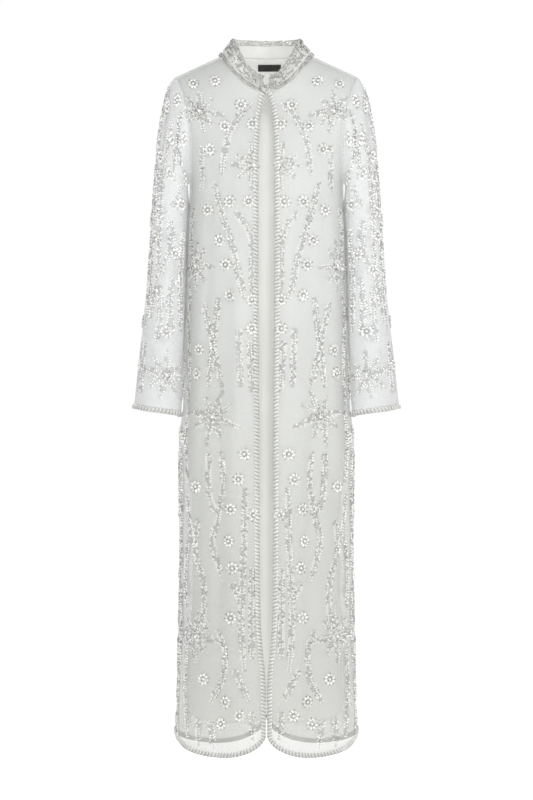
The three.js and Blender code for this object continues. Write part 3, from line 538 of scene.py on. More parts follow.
# %% [markdown]
# The net is silk tulle: a mesh of fine threads about a millimetre apart, so sheer that the
# lining shows through it. The eye reads it as a light veil with a faint grain. It is one
# see-through surface here with a fine hexagonal relief. The threads are drawn at 2.4 mm, coarser
# than the real ones, because real ones would be too fine to show.

# %% Net
THREAD_PITCH = 2.4 * MM


def painted_shade_foot(tree, place, tint):
    """Painted shade: a colour that turns a little warmer and darker from the waist down to the
    hem, where the robe hangs in less light.
    """
    level = node(tree, "ShaderNodeSeparateXYZ", {0: place.outputs["Object"]})
    low = node(tree, "ShaderNodeMapRange", {0: level.outputs["Z"], 1: -0.4, 2: -1.3,
                                            3: 0.0, 4: 1.0})
    return node(tree, "ShaderNodeMix", {0: low.outputs[0], 6: tint.outputs[2],
                                        7: linear("C2C0B8")},
                data_type="RGBA", blend_type="MULTIPLY")


def tulle(tree):
    cloth_map = node(tree, "ShaderNodeUVMap", uv_map="cloth")
    cells = node(tree, "ShaderNodeTexVoronoi",
                 {"Vector": cloth_map.outputs[0], "Scale": 1 / THREAD_PITCH, "Randomness": 0.25},
                 feature="DISTANCE_TO_EDGE")
    threads = node(tree, "ShaderNodeMapRange", {0: cells.outputs["Distance"], 1: 0.02, 2: 0.2,
                                                3: 1.0, 4: 0.0})
    place = node(tree, "ShaderNodeTexCoord")
    cloudy = node(tree, "ShaderNodeTexNoise", {"Vector": place.outputs["Object"], "Scale": 22.0,
                                               "Detail": 3.0})
    tint = node(tree, "ShaderNodeMix", {0: cloudy.outputs[0], 6: linear("C4C6C6"),
                                        7: linear("D6D8D8")}, data_type="RGBA")
    # The net gets a painted shade that darkens it toward the hem.
    tint = painted_shade_foot(tree, place, tint)
    threaded = node(tree, "ShaderNodeMix", {0: threads.outputs[0], 6: tint.outputs[2],
                                            7: linear("DADCDC")}, data_type="RGBA")
    relief = node(tree, "ShaderNodeBump", {"Strength": 0.1, "Distance": 0.0004,
                                           "Height": threads.outputs[0]})
    return node(tree, "ShaderNodeBsdfPrincipled",
                {"Base Color": threaded.outputs[2], "Roughness": 0.62, "IOR": 1.5,
                 "Alpha": 0.3, "Sheen Weight": 0.2, "Sheen Roughness": 0.4,
                 "Normal": relief.outputs[0]})


silk_tulle = finish("silk_tulle", tulle)
NET_WALL = 0.4
NET_COLUMNS = 36
NET_ROWS_TOP = 44
NET_ROWS_SKIRT = 176
for hand, word in HANDS:
    angle, z = half_panel(FRONT, NET_COLUMNS, NET_ROWS_TOP, NET_ROWS_SKIRT, front_gap, SCALLOP)
    cloth("net_front_" + word, body_point(FRONT, hand * angle, z), hand, silk_tulle, NET_WALL)


def whole(angle, z):
    """The back is one piece: a half, and a turned copy of it on the other side."""
    return np.hstack([-angle[:, :0:-1], angle]), np.hstack([z[:, :0:-1], z])


angle, z = whole(*half_panel(BACK, NET_COLUMNS, NET_ROWS_TOP, NET_ROWS_SKIRT, no_offset, SCALLOP))
cloth("net_back", body_point(BACK, angle, z), -1, silk_tulle, NET_WALL)

# %% [markdown]
# The lining is plain white satin, smooth and closely woven, with a soft gloss across its folds.
# It is thin silk, so part of the light goes through it and the inside of the robe isn't dark. It
# has its own panels inside the net and stops above the hem, so the net alone shows below it and
# at the sides. Its woven grain is 1.1 mm wide and eight times as long, coarser than real satin.

# %% Lining
LINING_GLOW = 0.7  # share of the light that this thin silk lets through
SATIN_GRAIN = MM / 0.9


def satin(tree):
    cloth_map = node(tree, "ShaderNodeUVMap", uv_map="cloth")
    stretched = node(tree, "ShaderNodeMapping", {"Vector": cloth_map.outputs[0],
                                                 "Scale": (1.0, 0.12, 1.0)})
    weave = node(tree, "ShaderNodeTexNoise", {"Vector": stretched.outputs[0],
                                              "Scale": 1 / SATIN_GRAIN, "Detail": 2.0})
    place = node(tree, "ShaderNodeTexCoord")
    cloudy = node(tree, "ShaderNodeTexNoise", {"Vector": place.outputs["Object"], "Scale": 9.0,
                                               "Detail": 2.0})
    tint = node(tree, "ShaderNodeMix", {0: cloudy.outputs[0], 6: linear("F5F5F4"),
                                        7: linear("FCFCFB")}, data_type="RGBA")
    relief = node(tree, "ShaderNodeBump", {"Strength": 0.12, "Distance": 0.0003,
                                           "Height": weave.outputs[0]})
    face = node(tree, "ShaderNodeBsdfPrincipled",
                {"Base Color": tint.outputs[2], "Roughness": 0.42, "IOR": 1.5,
                 "Sheen Weight": 0.2, "Sheen Roughness": 0.35, "Normal": relief.outputs[0]})
    glow = node(tree, "ShaderNodeBsdfTranslucent", {"Color": linear("F7F7F5")})
    return node(tree, "ShaderNodeMixShader", {0: LINING_GLOW, 1: face.outputs[0],
                                              2: glow.outputs[0]})


white_satin = finish("white_satin", satin)
LINING_WALL = 0.5
LINING_EDGE = 3
LINING_COLUMNS = 24
LINING_ROWS_TOP = 26
LINING_ROWS_SKIRT = 112


def lining_edge(z):
    """The lining stops a little behind the net's front edge."""
    return front_gap(z) + LINING_EDGE


for hand, word in HANDS:
    angle, z = half_panel(FRONT, LINING_COLUMNS, LINING_ROWS_TOP, LINING_ROWS_SKIRT, lining_edge,
                          LINING_SCALLOP, LINING_LAYER["narrow"])
    cloth("satin_front_" + word, body_point(FRONT, hand * angle, z, LINING_LAYER), hand,
          white_satin, LINING_WALL)
angle, z = whole(*half_panel(BACK, LINING_COLUMNS, LINING_ROWS_TOP, LINING_ROWS_SKIRT, no_offset,
                             LINING_SCALLOP, LINING_LAYER["narrow"]))
cloth("satin_back", body_point(BACK, angle, z, LINING_LAYER), -1, white_satin, LINING_WALL)

# %% [markdown]
# A sleeve is cut in one piece and set into the armhole. Its cap bends over the shoulder, and the
# arm hangs down along the body and lies flat against it on the inner side.

# %% Sizes of the sleeves
# level, inner and outer side seen from the front, half depth, and the middle in depth
SLEEVE = [
    (-300, 147, 223.5, 58, 3), (-355, 149, 227, 58, 2), (-472, 152, 236, 57, -2),
    (-589, 156, 248, 56, -8), (-694, 160, 259, 56, -12),
]
CAP_END, CUFF = -300, -694
CUFF_TILT = 16
SLEEVE_CLEAR, CUFF_CLEAR = 2.2, 8
SLEEVE_SQUARE = 0.82
CAP_LEAVE = {"over": (88, -35), "under": (26, 6), "y": 26}
CAP_ARRIVE = {"over": (9, -220), "under": (3, -60)}
SLEEVE_FOLDS = [
    (35, 26, -2.6, -180, -420), (95, 28, 2.4, -220, -480), (145, 24, -2.4, -300, -520),
    (235, 26, 2.4, -220, -480), (300, 26, -2.8, -200, -440),
]
# angle at the top and at the foot, width, depth, level of the top and the foot
SLEEVE_CREASES = {
    LEFT: [(76, 79, 2.6, -3.0, -170, -480), (58, 70, 6, -1.8, -200, -560),
           (104, 92, 7, 1.8, -320, -700), (20, 34, 7, -1.6, -330, -700),
           (160, 130, 8, -1.8, -280, -500), (210, 236, 8, 1.8, -300, -700),
           (266, 280, 7, -2.0, -240, -640)],
    RIGHT: [(80, 76, 2.6, -3.0, -150, -500), (66, 56, 6, -1.8, -220, -600),
            (98, 112, 7, 1.8, -300, -660), (26, 14, 7, -1.7, -380, -700),
            (150, 138, 8, -1.8, -260, -520), (216, 204, 8, 1.8, -340, -700),
            (272, 258, 7, -1.9, -220, -600)],
}
sleeve_ring = [curve(SLEEVE, column) for column in (1, 2, 3, 4)]
print("the cuff is", round(float(sleeve_ring[1](CUFF) - sleeve_ring[0](CUFF))), "mm wide")


def squarer(value):
    """Turns a circle's sine or cosine into that of a rounder square."""
    return np.sign(value) * np.abs(value) ** SLEEVE_SQUARE


def beside_body(y, z):
    """How far the body reaches sideways at a depth and a level."""
    low, high = np.zeros_like(y + z), np.full_like(y + z, np.pi / 2)
    goal = np.abs(y - SIDE_SEAM_Y)
    front = y < SIDE_SEAM_Y

    def body(angle):
        return np.where(front[..., None], body_point(FRONT, angle, z), body_point(BACK, angle, z))

    for _ in range(22):
        angle = (low + high) / 2
        beyond = np.abs(body(angle)[..., 1] - SIDE_SEAM_Y) > goal
        low, high = np.where(beyond, angle, low), np.where(beyond, high, angle)
    return body(high)[..., 0]


def arm_point(turn, z, creases):
    """A point of the hanging part of the sleeve, held clear of the body."""
    inner, outer, deep, middle = [ring(z) for ring in sleeve_ring]
    tilt = CUFF_TILT * smoothstep(-z, -CAP_END, -CUFF)
    degrees = np.degrees(turn) % 360
    fold = fold_depth(SLEEVE_FOLDS, degrees, z) + crease_depth(creases, degrees, z)
    fold = fold * smoothstep(-z, -CAP_END, -CAP_END + 60)
    half = (outer - inner) / 2 + fold * np.maximum(np.cos(turn), 0)
    x = (outer + inner) / 2 + half * squarer(np.cos(turn))
    y = middle - (deep + fold) * squarer(np.sin(turn))
    clear = mix(SLEEVE_CLEAR, CUFF_CLEAR, smoothstep(-z, -CUFF - 70, -CUFF - 10))
    level = z + tilt / 2 * np.cos(turn)
    x = np.maximum(x, beside_body(y, level) + clear)
    return np.stack([x, y, level], axis=-1)


def seam_point(turn):
    """A point of the armhole's seam on the body's panels."""
    front = turn <= np.pi
    x, z = armhole_seam(np.where(front, turn / np.pi, 2 - turn / np.pi))
    angle = angle_of(x, z)
    return np.where(front[..., None], body_point(FRONT, angle, z), body_point(BACK, angle, z))


def sleeve_point(turn, down, creases):
    """A point of the sleeve: down is 0 at the seam, 1 where the cap ends and 2 at the cuff."""
    turn, down = np.broadcast_arrays(np.asarray(turn, float), np.asarray(down, float))
    arm = arm_point(turn, mix(CAP_END, CUFF, np.maximum(down - 1, 0)), creases)
    start = seam_point(turn % (2 * np.pi))
    low = (1 - np.cos(turn)) / 2

    def between(slope, y):
        """A slope that turns from the top of the sleeve to its underside."""
        (x1, z1), (x2, z2) = slope["over"], slope["under"]
        return np.stack([mix(x1, x2, low), y, mix(z1, z2, low)], axis=-1)

    leave = between(CAP_LEAVE, -CAP_LEAVE["y"] * np.sin(turn))
    arrive = between(CAP_ARRIVE, 0 * turn)
    cap = hermite(start, arm_point(turn, 0 * down + CAP_END, creases), leave, arrive,
                  np.minimum(down, 1)[..., None])
    return np.where((down >= 1)[..., None], arm, cap)


# %% [markdown]
# Each ring of the sleeve's points runs once round the arm. The first ring is the armhole's seam
# itself, so body and sleeve meet without a gap, and the rings after it bend over into the arm. A
# tube with a bent centre line would be simpler, but would never fit that seam.

# %% Sleeves
SLEEVE_COLUMNS = 52
SLEEVE_ROWS_CAP = 30
SLEEVE_ROWS_ARM = 68
MIRROR = {LEFT: np.array([1, 1, 1]), RIGHT: np.array([-1, 1, 1])}
downs = np.concatenate([np.linspace(0, 1, SLEEVE_ROWS_CAP, endpoint=False),
                        np.linspace(1, 2, SLEEVE_ROWS_ARM + 1)])[:, None]
turns = np.linspace(0, 2 * np.pi, SLEEVE_COLUMNS, endpoint=False)[None, :]
for hand, word in HANDS:
    points = sleeve_point(turns, downs, SLEEVE_CREASES[hand]) * MIRROR[hand]
    cloth("net_sleeve_" + word, points, -hand, silk_tulle, NET_WALL, ring=True)

# %% [markdown]
# The collar is a band that leans in. It is of stiff silk organza, doubled, so it is thicker than
# the net and not see-through. Its weave is a fine rib of 1.2 mm, and gives a dull even grey.

# %% Collar
COLLAR_HEIGHT = 34
COLLAR_TOP_HALF = 64
COLLAR_TOP_DEPTH = 0.79
COLLAR_LIFT = 0.8
COLLAR_GAP_SEAM = 1.6
COLLAR_GAP_TOP = 5
COLLAR_WALL = 1.6
ORGANZA_RIB = WAVE / 260  # 1.2 mm


def collar_point(turn, rise):
    """turn runs from the wearer's left front end (0) round the back (1) to the right end (2)."""
    turn, rise = np.broadcast_arrays(np.asarray(turn, float), np.asarray(rise, float))
    half = np.where(turn <= 1, turn, 2 - turn)
    way = np.where(turn <= 1, 1, -1)
    front = half < 0.5
    share = np.minimum(half, 1 - half) / 0.5
    start = np.where(front, COLLAR_GAP_SEAM, 0)
    x = mix(start, NECK_HALF, np.sin(share * np.pi / 2))
    z = np.where(front, neck_level(FRONT, x), neck_level(BACK, x))
    angle = angle_of(x, z)
    seam = np.where(front[..., None], body_point(FRONT, angle, z), body_point(BACK, angle, z))
    top_start = np.where(front, COLLAR_GAP_TOP, 0)
    top_x = mix(top_start, COLLAR_TOP_HALF, (x - start) / (NECK_HALF - start))
    y = mix(seam[..., 1], seam[..., 1] * COLLAR_TOP_DEPTH, rise)
    level = mix(seam[..., 2], z + COLLAR_HEIGHT, rise) + COLLAR_LIFT
    return np.stack([way * mix(x, top_x, rise), y, level], axis=-1)


def organza(tree):
    cloth_map = node(tree, "ShaderNodeUVMap", uv_map="cloth")
    weave = node(tree, "ShaderNodeTexWave", {"Vector": cloth_map.outputs[0],
                                             "Scale": WAVE / ORGANZA_RIB,
                                             "Distortion": 1.5, "Detail": 1.0})
    place = node(tree, "ShaderNodeTexCoord")
    cloudy = node(tree, "ShaderNodeTexNoise", {"Vector": place.outputs["Object"], "Scale": 40.0})
    tint = node(tree, "ShaderNodeMix", {0: cloudy.outputs[0], 6: linear("D0D0CE"),
                                        7: linear("DDDDDB")}, data_type="RGBA")
    relief = node(tree, "ShaderNodeBump", {"Strength": 0.2, "Distance": 0.0003,
                                           "Height": weave.outputs[0]})
    return node(tree, "ShaderNodeBsdfPrincipled",
                {"Base Color": tint.outputs[2], "Roughness": 0.6, "Sheen Weight": 0.25,
                 "Normal": relief.outputs[0]})


stiff_organza = finish("stiff_organza", organza)
collar_turns = np.linspace(0, 2, 97)[None, :]
collar_rises = np.linspace(1, 0, 9)[:, None]
cloth("collar_band", collar_point(collar_turns, collar_rises), 1, stiff_organza, COLLAR_WALL)

# %% [markdown]
# Beadwork is sewn by hand, bead by bead, so it is set out in flat patterns on the cloth. Each
# bead is noted as a place on the surface, the way that it points and its size. Geometry Nodes
# then put a small glass shape on every such point. The patterns below are lists of beads.

# %% Surfaces to sew on
def unit(vectors):
    return vectors / np.linalg.norm(vectors, axis=-1, keepdims=True)


def body_surface(side, hand):
    """point gives a place from two numbers, here angle and level. step is how far apart its
    slopes are taken, and out is the side of the cloth that looks outwards."""
    return {"point": lambda a, b: body_point(side, hand * a, b), "step": (0.004, 0.5),
            "out": -hand * side}


def sleeve_surface(hand):
    """The sleeve, read from a close grid of its points, because each point takes a search."""
    count_a, count_b = 360, 420
    grid_a = np.linspace(0, 2 * np.pi, count_a, endpoint=False)[:, None]
    grid_b = np.linspace(0, 2, count_b)[None, :]
    grid = sleeve_point(grid_a, grid_b, SLEEVE_CREASES[hand]) * MIRROR[hand]

    def read(a, b):
        a, b = np.broadcast_arrays(np.asarray(a, float), np.asarray(b, float))
        s = a % (2 * np.pi) / (2 * np.pi) * count_a
        t = b / 2 * (count_b - 1)
        i, j = s.astype(int) % count_a, np.clip(t.astype(int), 0, count_b - 2)
        s, t = (s - np.floor(s))[..., None], (t - j)[..., None]
        near, far = grid[i], grid[(i + 1) % count_a]
        take = np.take_along_axis
        pick = [take(side, k[..., None, None], axis=-2)[..., 0, :] for side in (near, far)
                for k in (j, j + 1)]
        return mix(mix(pick[0], pick[1], t), mix(pick[2], pick[3], t), s)

    return {"point": read, "step": (0.03, 0.01), "out": hand}


collar_surface = {"point": collar_point, "step": (0.002, 0.02), "out": 1}
way_out = np.cross(*[body_point(FRONT, *to) - body_point(FRONT, 0.2, -600)
                     for to in ((0.21, -600), (0.2, -599))])
print("a bead on the front faces", (way_out / np.linalg.norm(way_out)).round(1))


def standing(surface, a, b):
    """Place, way out, and the two ways along the surface with their millimetres per unit."""
    da, db = surface["step"]
    a, b = np.asarray(a, float), np.asarray(b, float)
    across = (surface["point"](a + da, b) - surface["point"](a - da, b)) / (2 * da)
    rise = (surface["point"](a, b + db) - surface["point"](a, b - db)) / (2 * db)
    per_a = np.linalg.norm(across, axis=-1)
    per_b = np.linalg.norm(rise, axis=-1)
    out = unit(np.cross(across, rise)) * surface["out"]
    right = unit(across)
    up = unit(rise - (rise * right).sum(axis=-1, keepdims=True) * right)
    return surface["point"](a, b), out, right, up, per_a, per_b


# %% [markdown]
# The real robe has three motifs. A rosette is a swirl of long beads, a vine a row of chevrons sewn
# bead by bead, and a starburst a knot of beads with rays that narrow to a tip. They could be
# modelled once and copied, but then all would be alike. Here each is drawn by a function that
# gives every bead a shade of its own, from one fixed row of random numbers. These shades are
# partly the glass's own tone and partly painted glint and shade.

# %% Patterns of beads
BEAD = np.dtype([("a", float), ("b", float), ("way", float), ("lift", float),
                 ("size", float, 3), ("shade", float)])


def beads(a, b, way, lift, size, shade):
    """A list of beads. way is the angle of a bead's length from the surface's first direction."""
    count = len(a)
    made = np.zeros(count, dtype=BEAD)
    made["a"], made["b"], made["way"], made["lift"], made["shade"] = a, b, way, lift, shade
    made["size"] = np.broadcast_to(size, (count, 3))
    return made


def around(surface, a, b, right, up, **more):
    """Beads at millimetres to the right of a place and above it."""
    _, _, _, _, per_a, per_b = standing(surface, a, b)
    return beads(a + right / per_a, b + up / per_b, **more)


def circle(surface, a, b, radius, count, size, lift, shade, first=0.0):
    """A ring of beads round a place, each lying across the ring."""
    turn = first + np.arange(count) * 2 * np.pi / count
    return around(surface, a, b, radius * np.cos(turn), radius * np.sin(turn),
                  way=turn, lift=lift, size=size, shade=shade)


PETALS = 8
ROSETTE = 12.8  # radius
chance = np.random.default_rng(11)


def uneven(count, low, high):
    """A shade for each of a number of beads."""
    return chance.uniform(low, high, count)


def painted_glints_and_shade(count):
    """Shades of cut glass, partly the glass's own tone and partly painted glint and shade: two
    beads in five are coloured dark and the others bright.
    """
    return np.where(chance.random(count) < 0.4, uneven(count, 0.0, 0.4), uneven(count, 0.75, 1.0))


def rosette(surface, a, b, radius=ROSETTE):
    """A swirl of long cut beads in two rings, with small grey ones between their tips. The grey
    ones and the dark inner ring are partly painted shade between the petals.
    """
    turn = chance.uniform(0, np.pi)
    petals = circle(surface, a, b, 0.66 * radius, PETALS, (0.62 * radius, 0.34 * radius,
                    0.30 * radius), 1.6, uneven(PETALS, 0.65, 1.0), first=turn)
    petals["way"] += 0.8
    # The inner ring and the small beads between the petals' tips are coloured darker, partly as
    # painted shade between the petals.
    inner = circle(surface, a, b, 0.32 * radius, 6, (0.34 * radius, 0.24 * radius, 0.24 * radius),
                   1.5, uneven(6, 0.0, 0.5), first=turn)
    inner["way"] += 1.2
    outer = circle(surface, a, b, 0.90 * radius, PETALS, 0.27 * radius, 1.1,
                   uneven(PETALS, 0.15, 0.6), first=turn + np.pi / PETALS)
    middle = circle(surface, a, b, 0, 1, 0.34 * radius, 2.0, 1.0)
    return {"cut": np.concatenate([petals, inner]), "small": np.concatenate([outer, middle])}


def smooth_path(points, count=160):
    """A soft line through a few points."""
    p = np.array(points, dtype=float)
    p = np.vstack([2 * p[0] - p[1], p, 2 * p[-1] - p[-2]])
    t = np.linspace(0, len(p) - 3 - 1e-9, count)
    k = t.astype(int)
    t = (t - k)[:, None]
    p0, p1, p2, p3 = p[k], p[k + 1], p[k + 2], p[k + 3]
    return 0.5 * (2 * p1 + (p2 - p0) * t + (2 * p0 - 5 * p1 + 4 * p2 - p3) * t**2
                  + (3 * p1 - p0 - 3 * p2 + p3) * t**3)


def stations(surface, line, pitch):
    """Evenly spaced places along a line on a surface, and the way it runs there."""
    places = surface["point"](line[:, 0], line[:, 1])
    run = np.concatenate([[0], np.cumsum(np.linalg.norm(np.diff(places, axis=0), axis=1))])
    count = max(int(run[-1] / pitch), 2)
    at = (np.arange(count) + 0.5) * run[-1] / count
    a, b = np.interp(at, run, line[:, 0]), np.interp(at, run, line[:, 1])
    _, _, _, _, per_a, per_b = standing(surface, a, b)
    way = np.arctan2(np.gradient(b) * per_b, np.gradient(a) * per_a)
    return a, b, way, per_a, per_b


VINE_PITCH = 5.2
VINE_WIDE = 13.5
CHEVRON = math.radians(125)
ARM_STEP = 3.3  # from bead to bead along a chevron's arm
CUT_BEAD = np.array([3.6, 2.9, 2.6])


def chevrons(surface, line, wide):
    """A row of chevrons. Each arm is a few cut beads, and a dark one lies where they meet, partly
    as painted shade between the arms.
    """
    a, b, way, per_a, per_b = stations(surface, line, VINE_PITCH)
    long = wide((np.arange(len(a)) + 0.5) / len(a)) / 2 / math.sin(CHEVRON)
    # The spine's dark beads are partly painted shade where the arms meet.
    spine = beads(a, b, way, 1.0, 0.75 * CUT_BEAD, uneven(len(a), 0.0, 0.4))
    parts = [spine]
    for side in (-1, 1):
        for out in np.arange(ARM_STEP, long.max() + 0.3 * ARM_STEP, ARM_STEP):
            kept = long > out - 0.4 * ARM_STEP
            heading = (way + side * CHEVRON)[kept]
            x, y = out * np.cos(heading), out * np.sin(heading)
            parts.append(beads(a[kept] + x / per_a[kept], b[kept] + y / per_b[kept], heading,
                               1.1, CUT_BEAD, painted_glints_and_shade(len(heading))))
    return {"cut": np.concatenate(parts)}


def vine(surface, points, wide=VINE_WIDE):
    return chevrons(surface, smooth_path(points),
                    lambda share: wide * (0.45 + 0.55 * np.sin(np.pi * share) ** 0.6))


RAY_WIDE = 13.0
RAY_START = 11.0
RAY_BEND = 0.10
LONG_RAY, SHORT_RAY = 1.12, 0.88
CORE_RINGS = ((4.0, 8), (7.2, 14), (10.2, 20))  # radius, and how many beads


def starburst(surface, a, b, reach, turn=0.0, rays=8, first=0.0, part=360.0):
    """Rays of chevrons that narrow to a tip, round a close core of beads."""
    _, _, _, _, per_a, per_b = standing(surface, a, b)
    parts = [{"small": circle(surface, a, b, radius, count, 3.0, 1.5, uneven(count, 0.0, 1.0))}
             for radius, count in CORE_RINGS]
    parts.append({"round": circle(surface, a, b, 0, 1, 5.0, 2.2, 1.0)})
    gap = math.radians(part / (rays if part == 360.0 else rays - 1))
    for k in range(rays):
        heading = math.radians(turn + first) + k * gap
        long = reach * (LONG_RAY if k % 2 == 0 else SHORT_RAY)
        bend = RAY_BEND * long * (1 if k % 3 else -1)
        out = np.linspace(RAY_START, long, 40)
        off = bend * (out / long) ** 2
        x = out * math.cos(heading) - off * math.sin(heading)
        y = out * math.sin(heading) + off * math.cos(heading)
        line = np.stack([a + x / per_a, b + y / per_b], axis=1)
        parts.append(chevrons(surface, line[::-1],
                              lambda share: RAY_WIDE * (0.12 + 0.88 * share ** 0.8)))
    return gather(parts)


def gather(patterns):
    """All the beads of a list of patterns, by shape."""
    shapes = {}
    for pattern in patterns:
        for shape, rows in pattern.items():
            shapes.setdefault(shape, []).append(rows)
    return {shape: np.concatenate(rows) for shape, rows in shapes.items()}


print("a rosette has", 2 * PETALS + 7, "beads and is", 2 * ROSETTE, "mm wide")

# %% [markdown]
# One node tree strings the beads. It reads the facing and the size that each point carries, sets
# a shape there with a slight random tilt, and makes one real mesh of them all. Thousands of
# copied objects would look the same and take far longer. A cut bead is two six-sided points,
# foot to foot. A small one is a ball of twenty faces, and a round one a ball of flat rings.

# %% The node tree for beads
SHAPES = {
    "small": ("GeometryNodeMeshIcoSphere", {"Radius": 0.5, "Subdivisions": 1}),
    "round": ("GeometryNodeMeshUVSphere", {"Segments": 10, "Rings": 6, "Radius": 0.5}),
    "cut": ("GeometryNodeMeshUVSphere", {"Segments": 6, "Rings": 2, "Radius": 0.5}),
}


def bead_tree(shape):
    tree = bpy.data.node_groups.new("string_" + shape + "_beads", "GeometryNodeTree")
    face = tree.interface
    face.new_socket("Places", in_out="INPUT", socket_type="NodeSocketGeometry")
    for name, kind, value in (("Largest tilt", "NodeSocketFloat", 0.15),
                              ("Seed", "NodeSocketInt", 3),
                              ("Glass", "NodeSocketMaterial", None)):
        made = face.new_socket(name, in_out="INPUT", socket_type=kind)
        if value is not None:
            made.default_value = value
    face.new_socket("Beads", in_out="OUTPUT", socket_type="NodeSocketGeometry")
    given = node(tree, "NodeGroupInput").outputs
    kind, sizes = SHAPES[shape]
    bead = node(tree, kind, sizes)
    quarter = math.pi / 2 if shape == "cut" else 0
    lying = node(tree, "GeometryNodeTransform", {"Geometry": bead.outputs["Mesh"],
                                                 "Rotation": (0, quarter, 0)})
    facing = node(tree, "GeometryNodeInputNamedAttribute", {"Name": "facing"},
                  data_type="FLOAT_VECTOR")
    size = node(tree, "GeometryNodeInputNamedAttribute", {"Name": "size"},
                data_type="FLOAT_VECTOR")
    least = node(tree, "ShaderNodeMath", {0: given["Largest tilt"], 1: -1.0},
                 operation="MULTIPLY")
    tilt = node(tree, "FunctionNodeRandomValue", {0: least.outputs[0],
                                                  1: given["Largest tilt"],
                                                  "Seed": given["Seed"]},
                data_type="FLOAT_VECTOR")
    turned = node(tree, "FunctionNodeEulerToRotation", {0: facing.outputs["Attribute"]})
    tilted = node(tree, "FunctionNodeRotateRotation",
                  {"Rotation": turned.outputs[0], "Rotate By": tilt.outputs[0]},
                  rotation_space="LOCAL")
    strung = node(tree, "GeometryNodeInstanceOnPoints",
                  {"Points": given["Places"], "Instance": lying.outputs[0],
                   "Rotation": tilted.outputs[0], "Scale": size.outputs["Attribute"]})
    real = node(tree, "GeometryNodeRealizeInstances", {0: strung.outputs[0]})
    soft = node(tree, "GeometryNodeSetShadeSmooth", {0: real.outputs[0],
                                                     "Shade Smooth": shape != "cut"})
    glass = node(tree, "GeometryNodeSetMaterial", {"Geometry": soft.outputs[0],
                                                   "Material": given["Glass"]})
    node(tree, "NodeGroupOutput", {0: glass.outputs[0]})
    return tree


bead_trees = {shape: bead_tree(shape) for shape in SHAPES}
TILT = 0.16  # radians, up to which a bead may lean
print("bead shapes:", ", ".join(bead_trees))


def euler(forward, out):
    """The turn that points a shape's length forward and its top out."""
    x = unit(forward)
    z = unit(out - (out * x).sum(axis=-1, keepdims=True) * x)
    y = np.cross(z, x)
    level = np.hypot(x[:, 0], x[:, 1])
    return np.stack([np.arctan2(y[:, 2], z[:, 2]), np.arctan2(-x[:, 2], level),
                     np.arctan2(x[:, 1], x[:, 0])], axis=-1)


def sew(name, surface, shapes, material):
    """Strings every bead of some patterns on a surface, as one mesh."""
    made = []
    for shape, rows in shapes.items():
        place, out, right, up, _, _ = standing(surface, rows["a"], rows["b"])
        forward = np.cos(rows["way"])[:, None] * right + np.sin(rows["way"])[:, None] * up
        spots = bpy.data.meshes.new("spots")
        spots.from_pydata(((place + out * rows["lift"][:, None]) * MM).tolist(), [], [])
        for key, values in (("facing", euler(forward, out)), ("size", rows["size"] * MM)):
            layer = spots.attributes.new(key, "FLOAT_VECTOR", "POINT")
            layer.data.foreach_set("vector", values.ravel())
        spots.attributes.new("shade", "FLOAT", "POINT").data.foreach_set("value", rows["shade"])
        carrier = bpy.data.objects.new("spots", spots)
        scene.collection.objects.link(carrier)
        tree = bead_trees[shape]
        modifier = carrier.modifiers.new("beads", "NODES")
        modifier.node_group = tree
        sockets = {item.name: item.identifier for item in tree.interface.items_tree
                   if item.in_out == "INPUT"}
        modifier[sockets["Largest tilt"]] = TILT
        modifier[sockets["Seed"]] = len(rows)
        modifier[sockets["Glass"]] = material
        graph = bpy.context.evaluated_depsgraph_get()
        made.append(bpy.data.meshes.new_from_object(carrier.evaluated_get(graph)))
        bpy.data.objects.remove(carrier)
    join(name, made, material)


def join(name, meshes, material):
    """One piece of several meshes that carry a shade for each point."""
    points, faces, shades, soft, start = [], [], [], [], 0
    for mesh in meshes:
        at = np.empty(len(mesh.vertices) * 3)
        mesh.vertices.foreach_get("co", at)
        points.append(at.reshape(-1, 3))
        faces += [[start + v for v in polygon.vertices] for polygon in mesh.polygons]
        smooth = np.empty(len(mesh.polygons), dtype=bool)
        mesh.polygons.foreach_get("use_smooth", smooth)
        soft.append(smooth)
        shade = np.ones(len(mesh.vertices))
        if "shade" in mesh.attributes:
            mesh.attributes["shade"].data.foreach_get("value", shade)
        shades.append(shade)
        start += len(mesh.vertices)
    whole_mesh = bpy.data.meshes.new(name)
    whole_mesh.from_pydata(np.concatenate(points).tolist(), [], faces)
    whole_mesh.polygons.foreach_set("use_smooth", np.concatenate(soft))
    layer = whole_mesh.attributes.new("shade", "FLOAT", "POINT")
    layer.data.foreach_set("value", np.concatenate(shades))
    whole_mesh.materials.append(material)
    add_piece(name, whole_mesh)
    print(name, sum(len(face) - 2 for face in faces), "triangles")


# %% [markdown]
# The beads are clear glass with a silver lining: a bright, slightly cold glint with grey in it.
# Every bead has its own shade, which the pattern gives, so light and dark ones alternate. That
# shade is partly the glass's tone and partly painted glint and shade. A speckle of 2 mm, about a
# bead's width, varies them a little more.

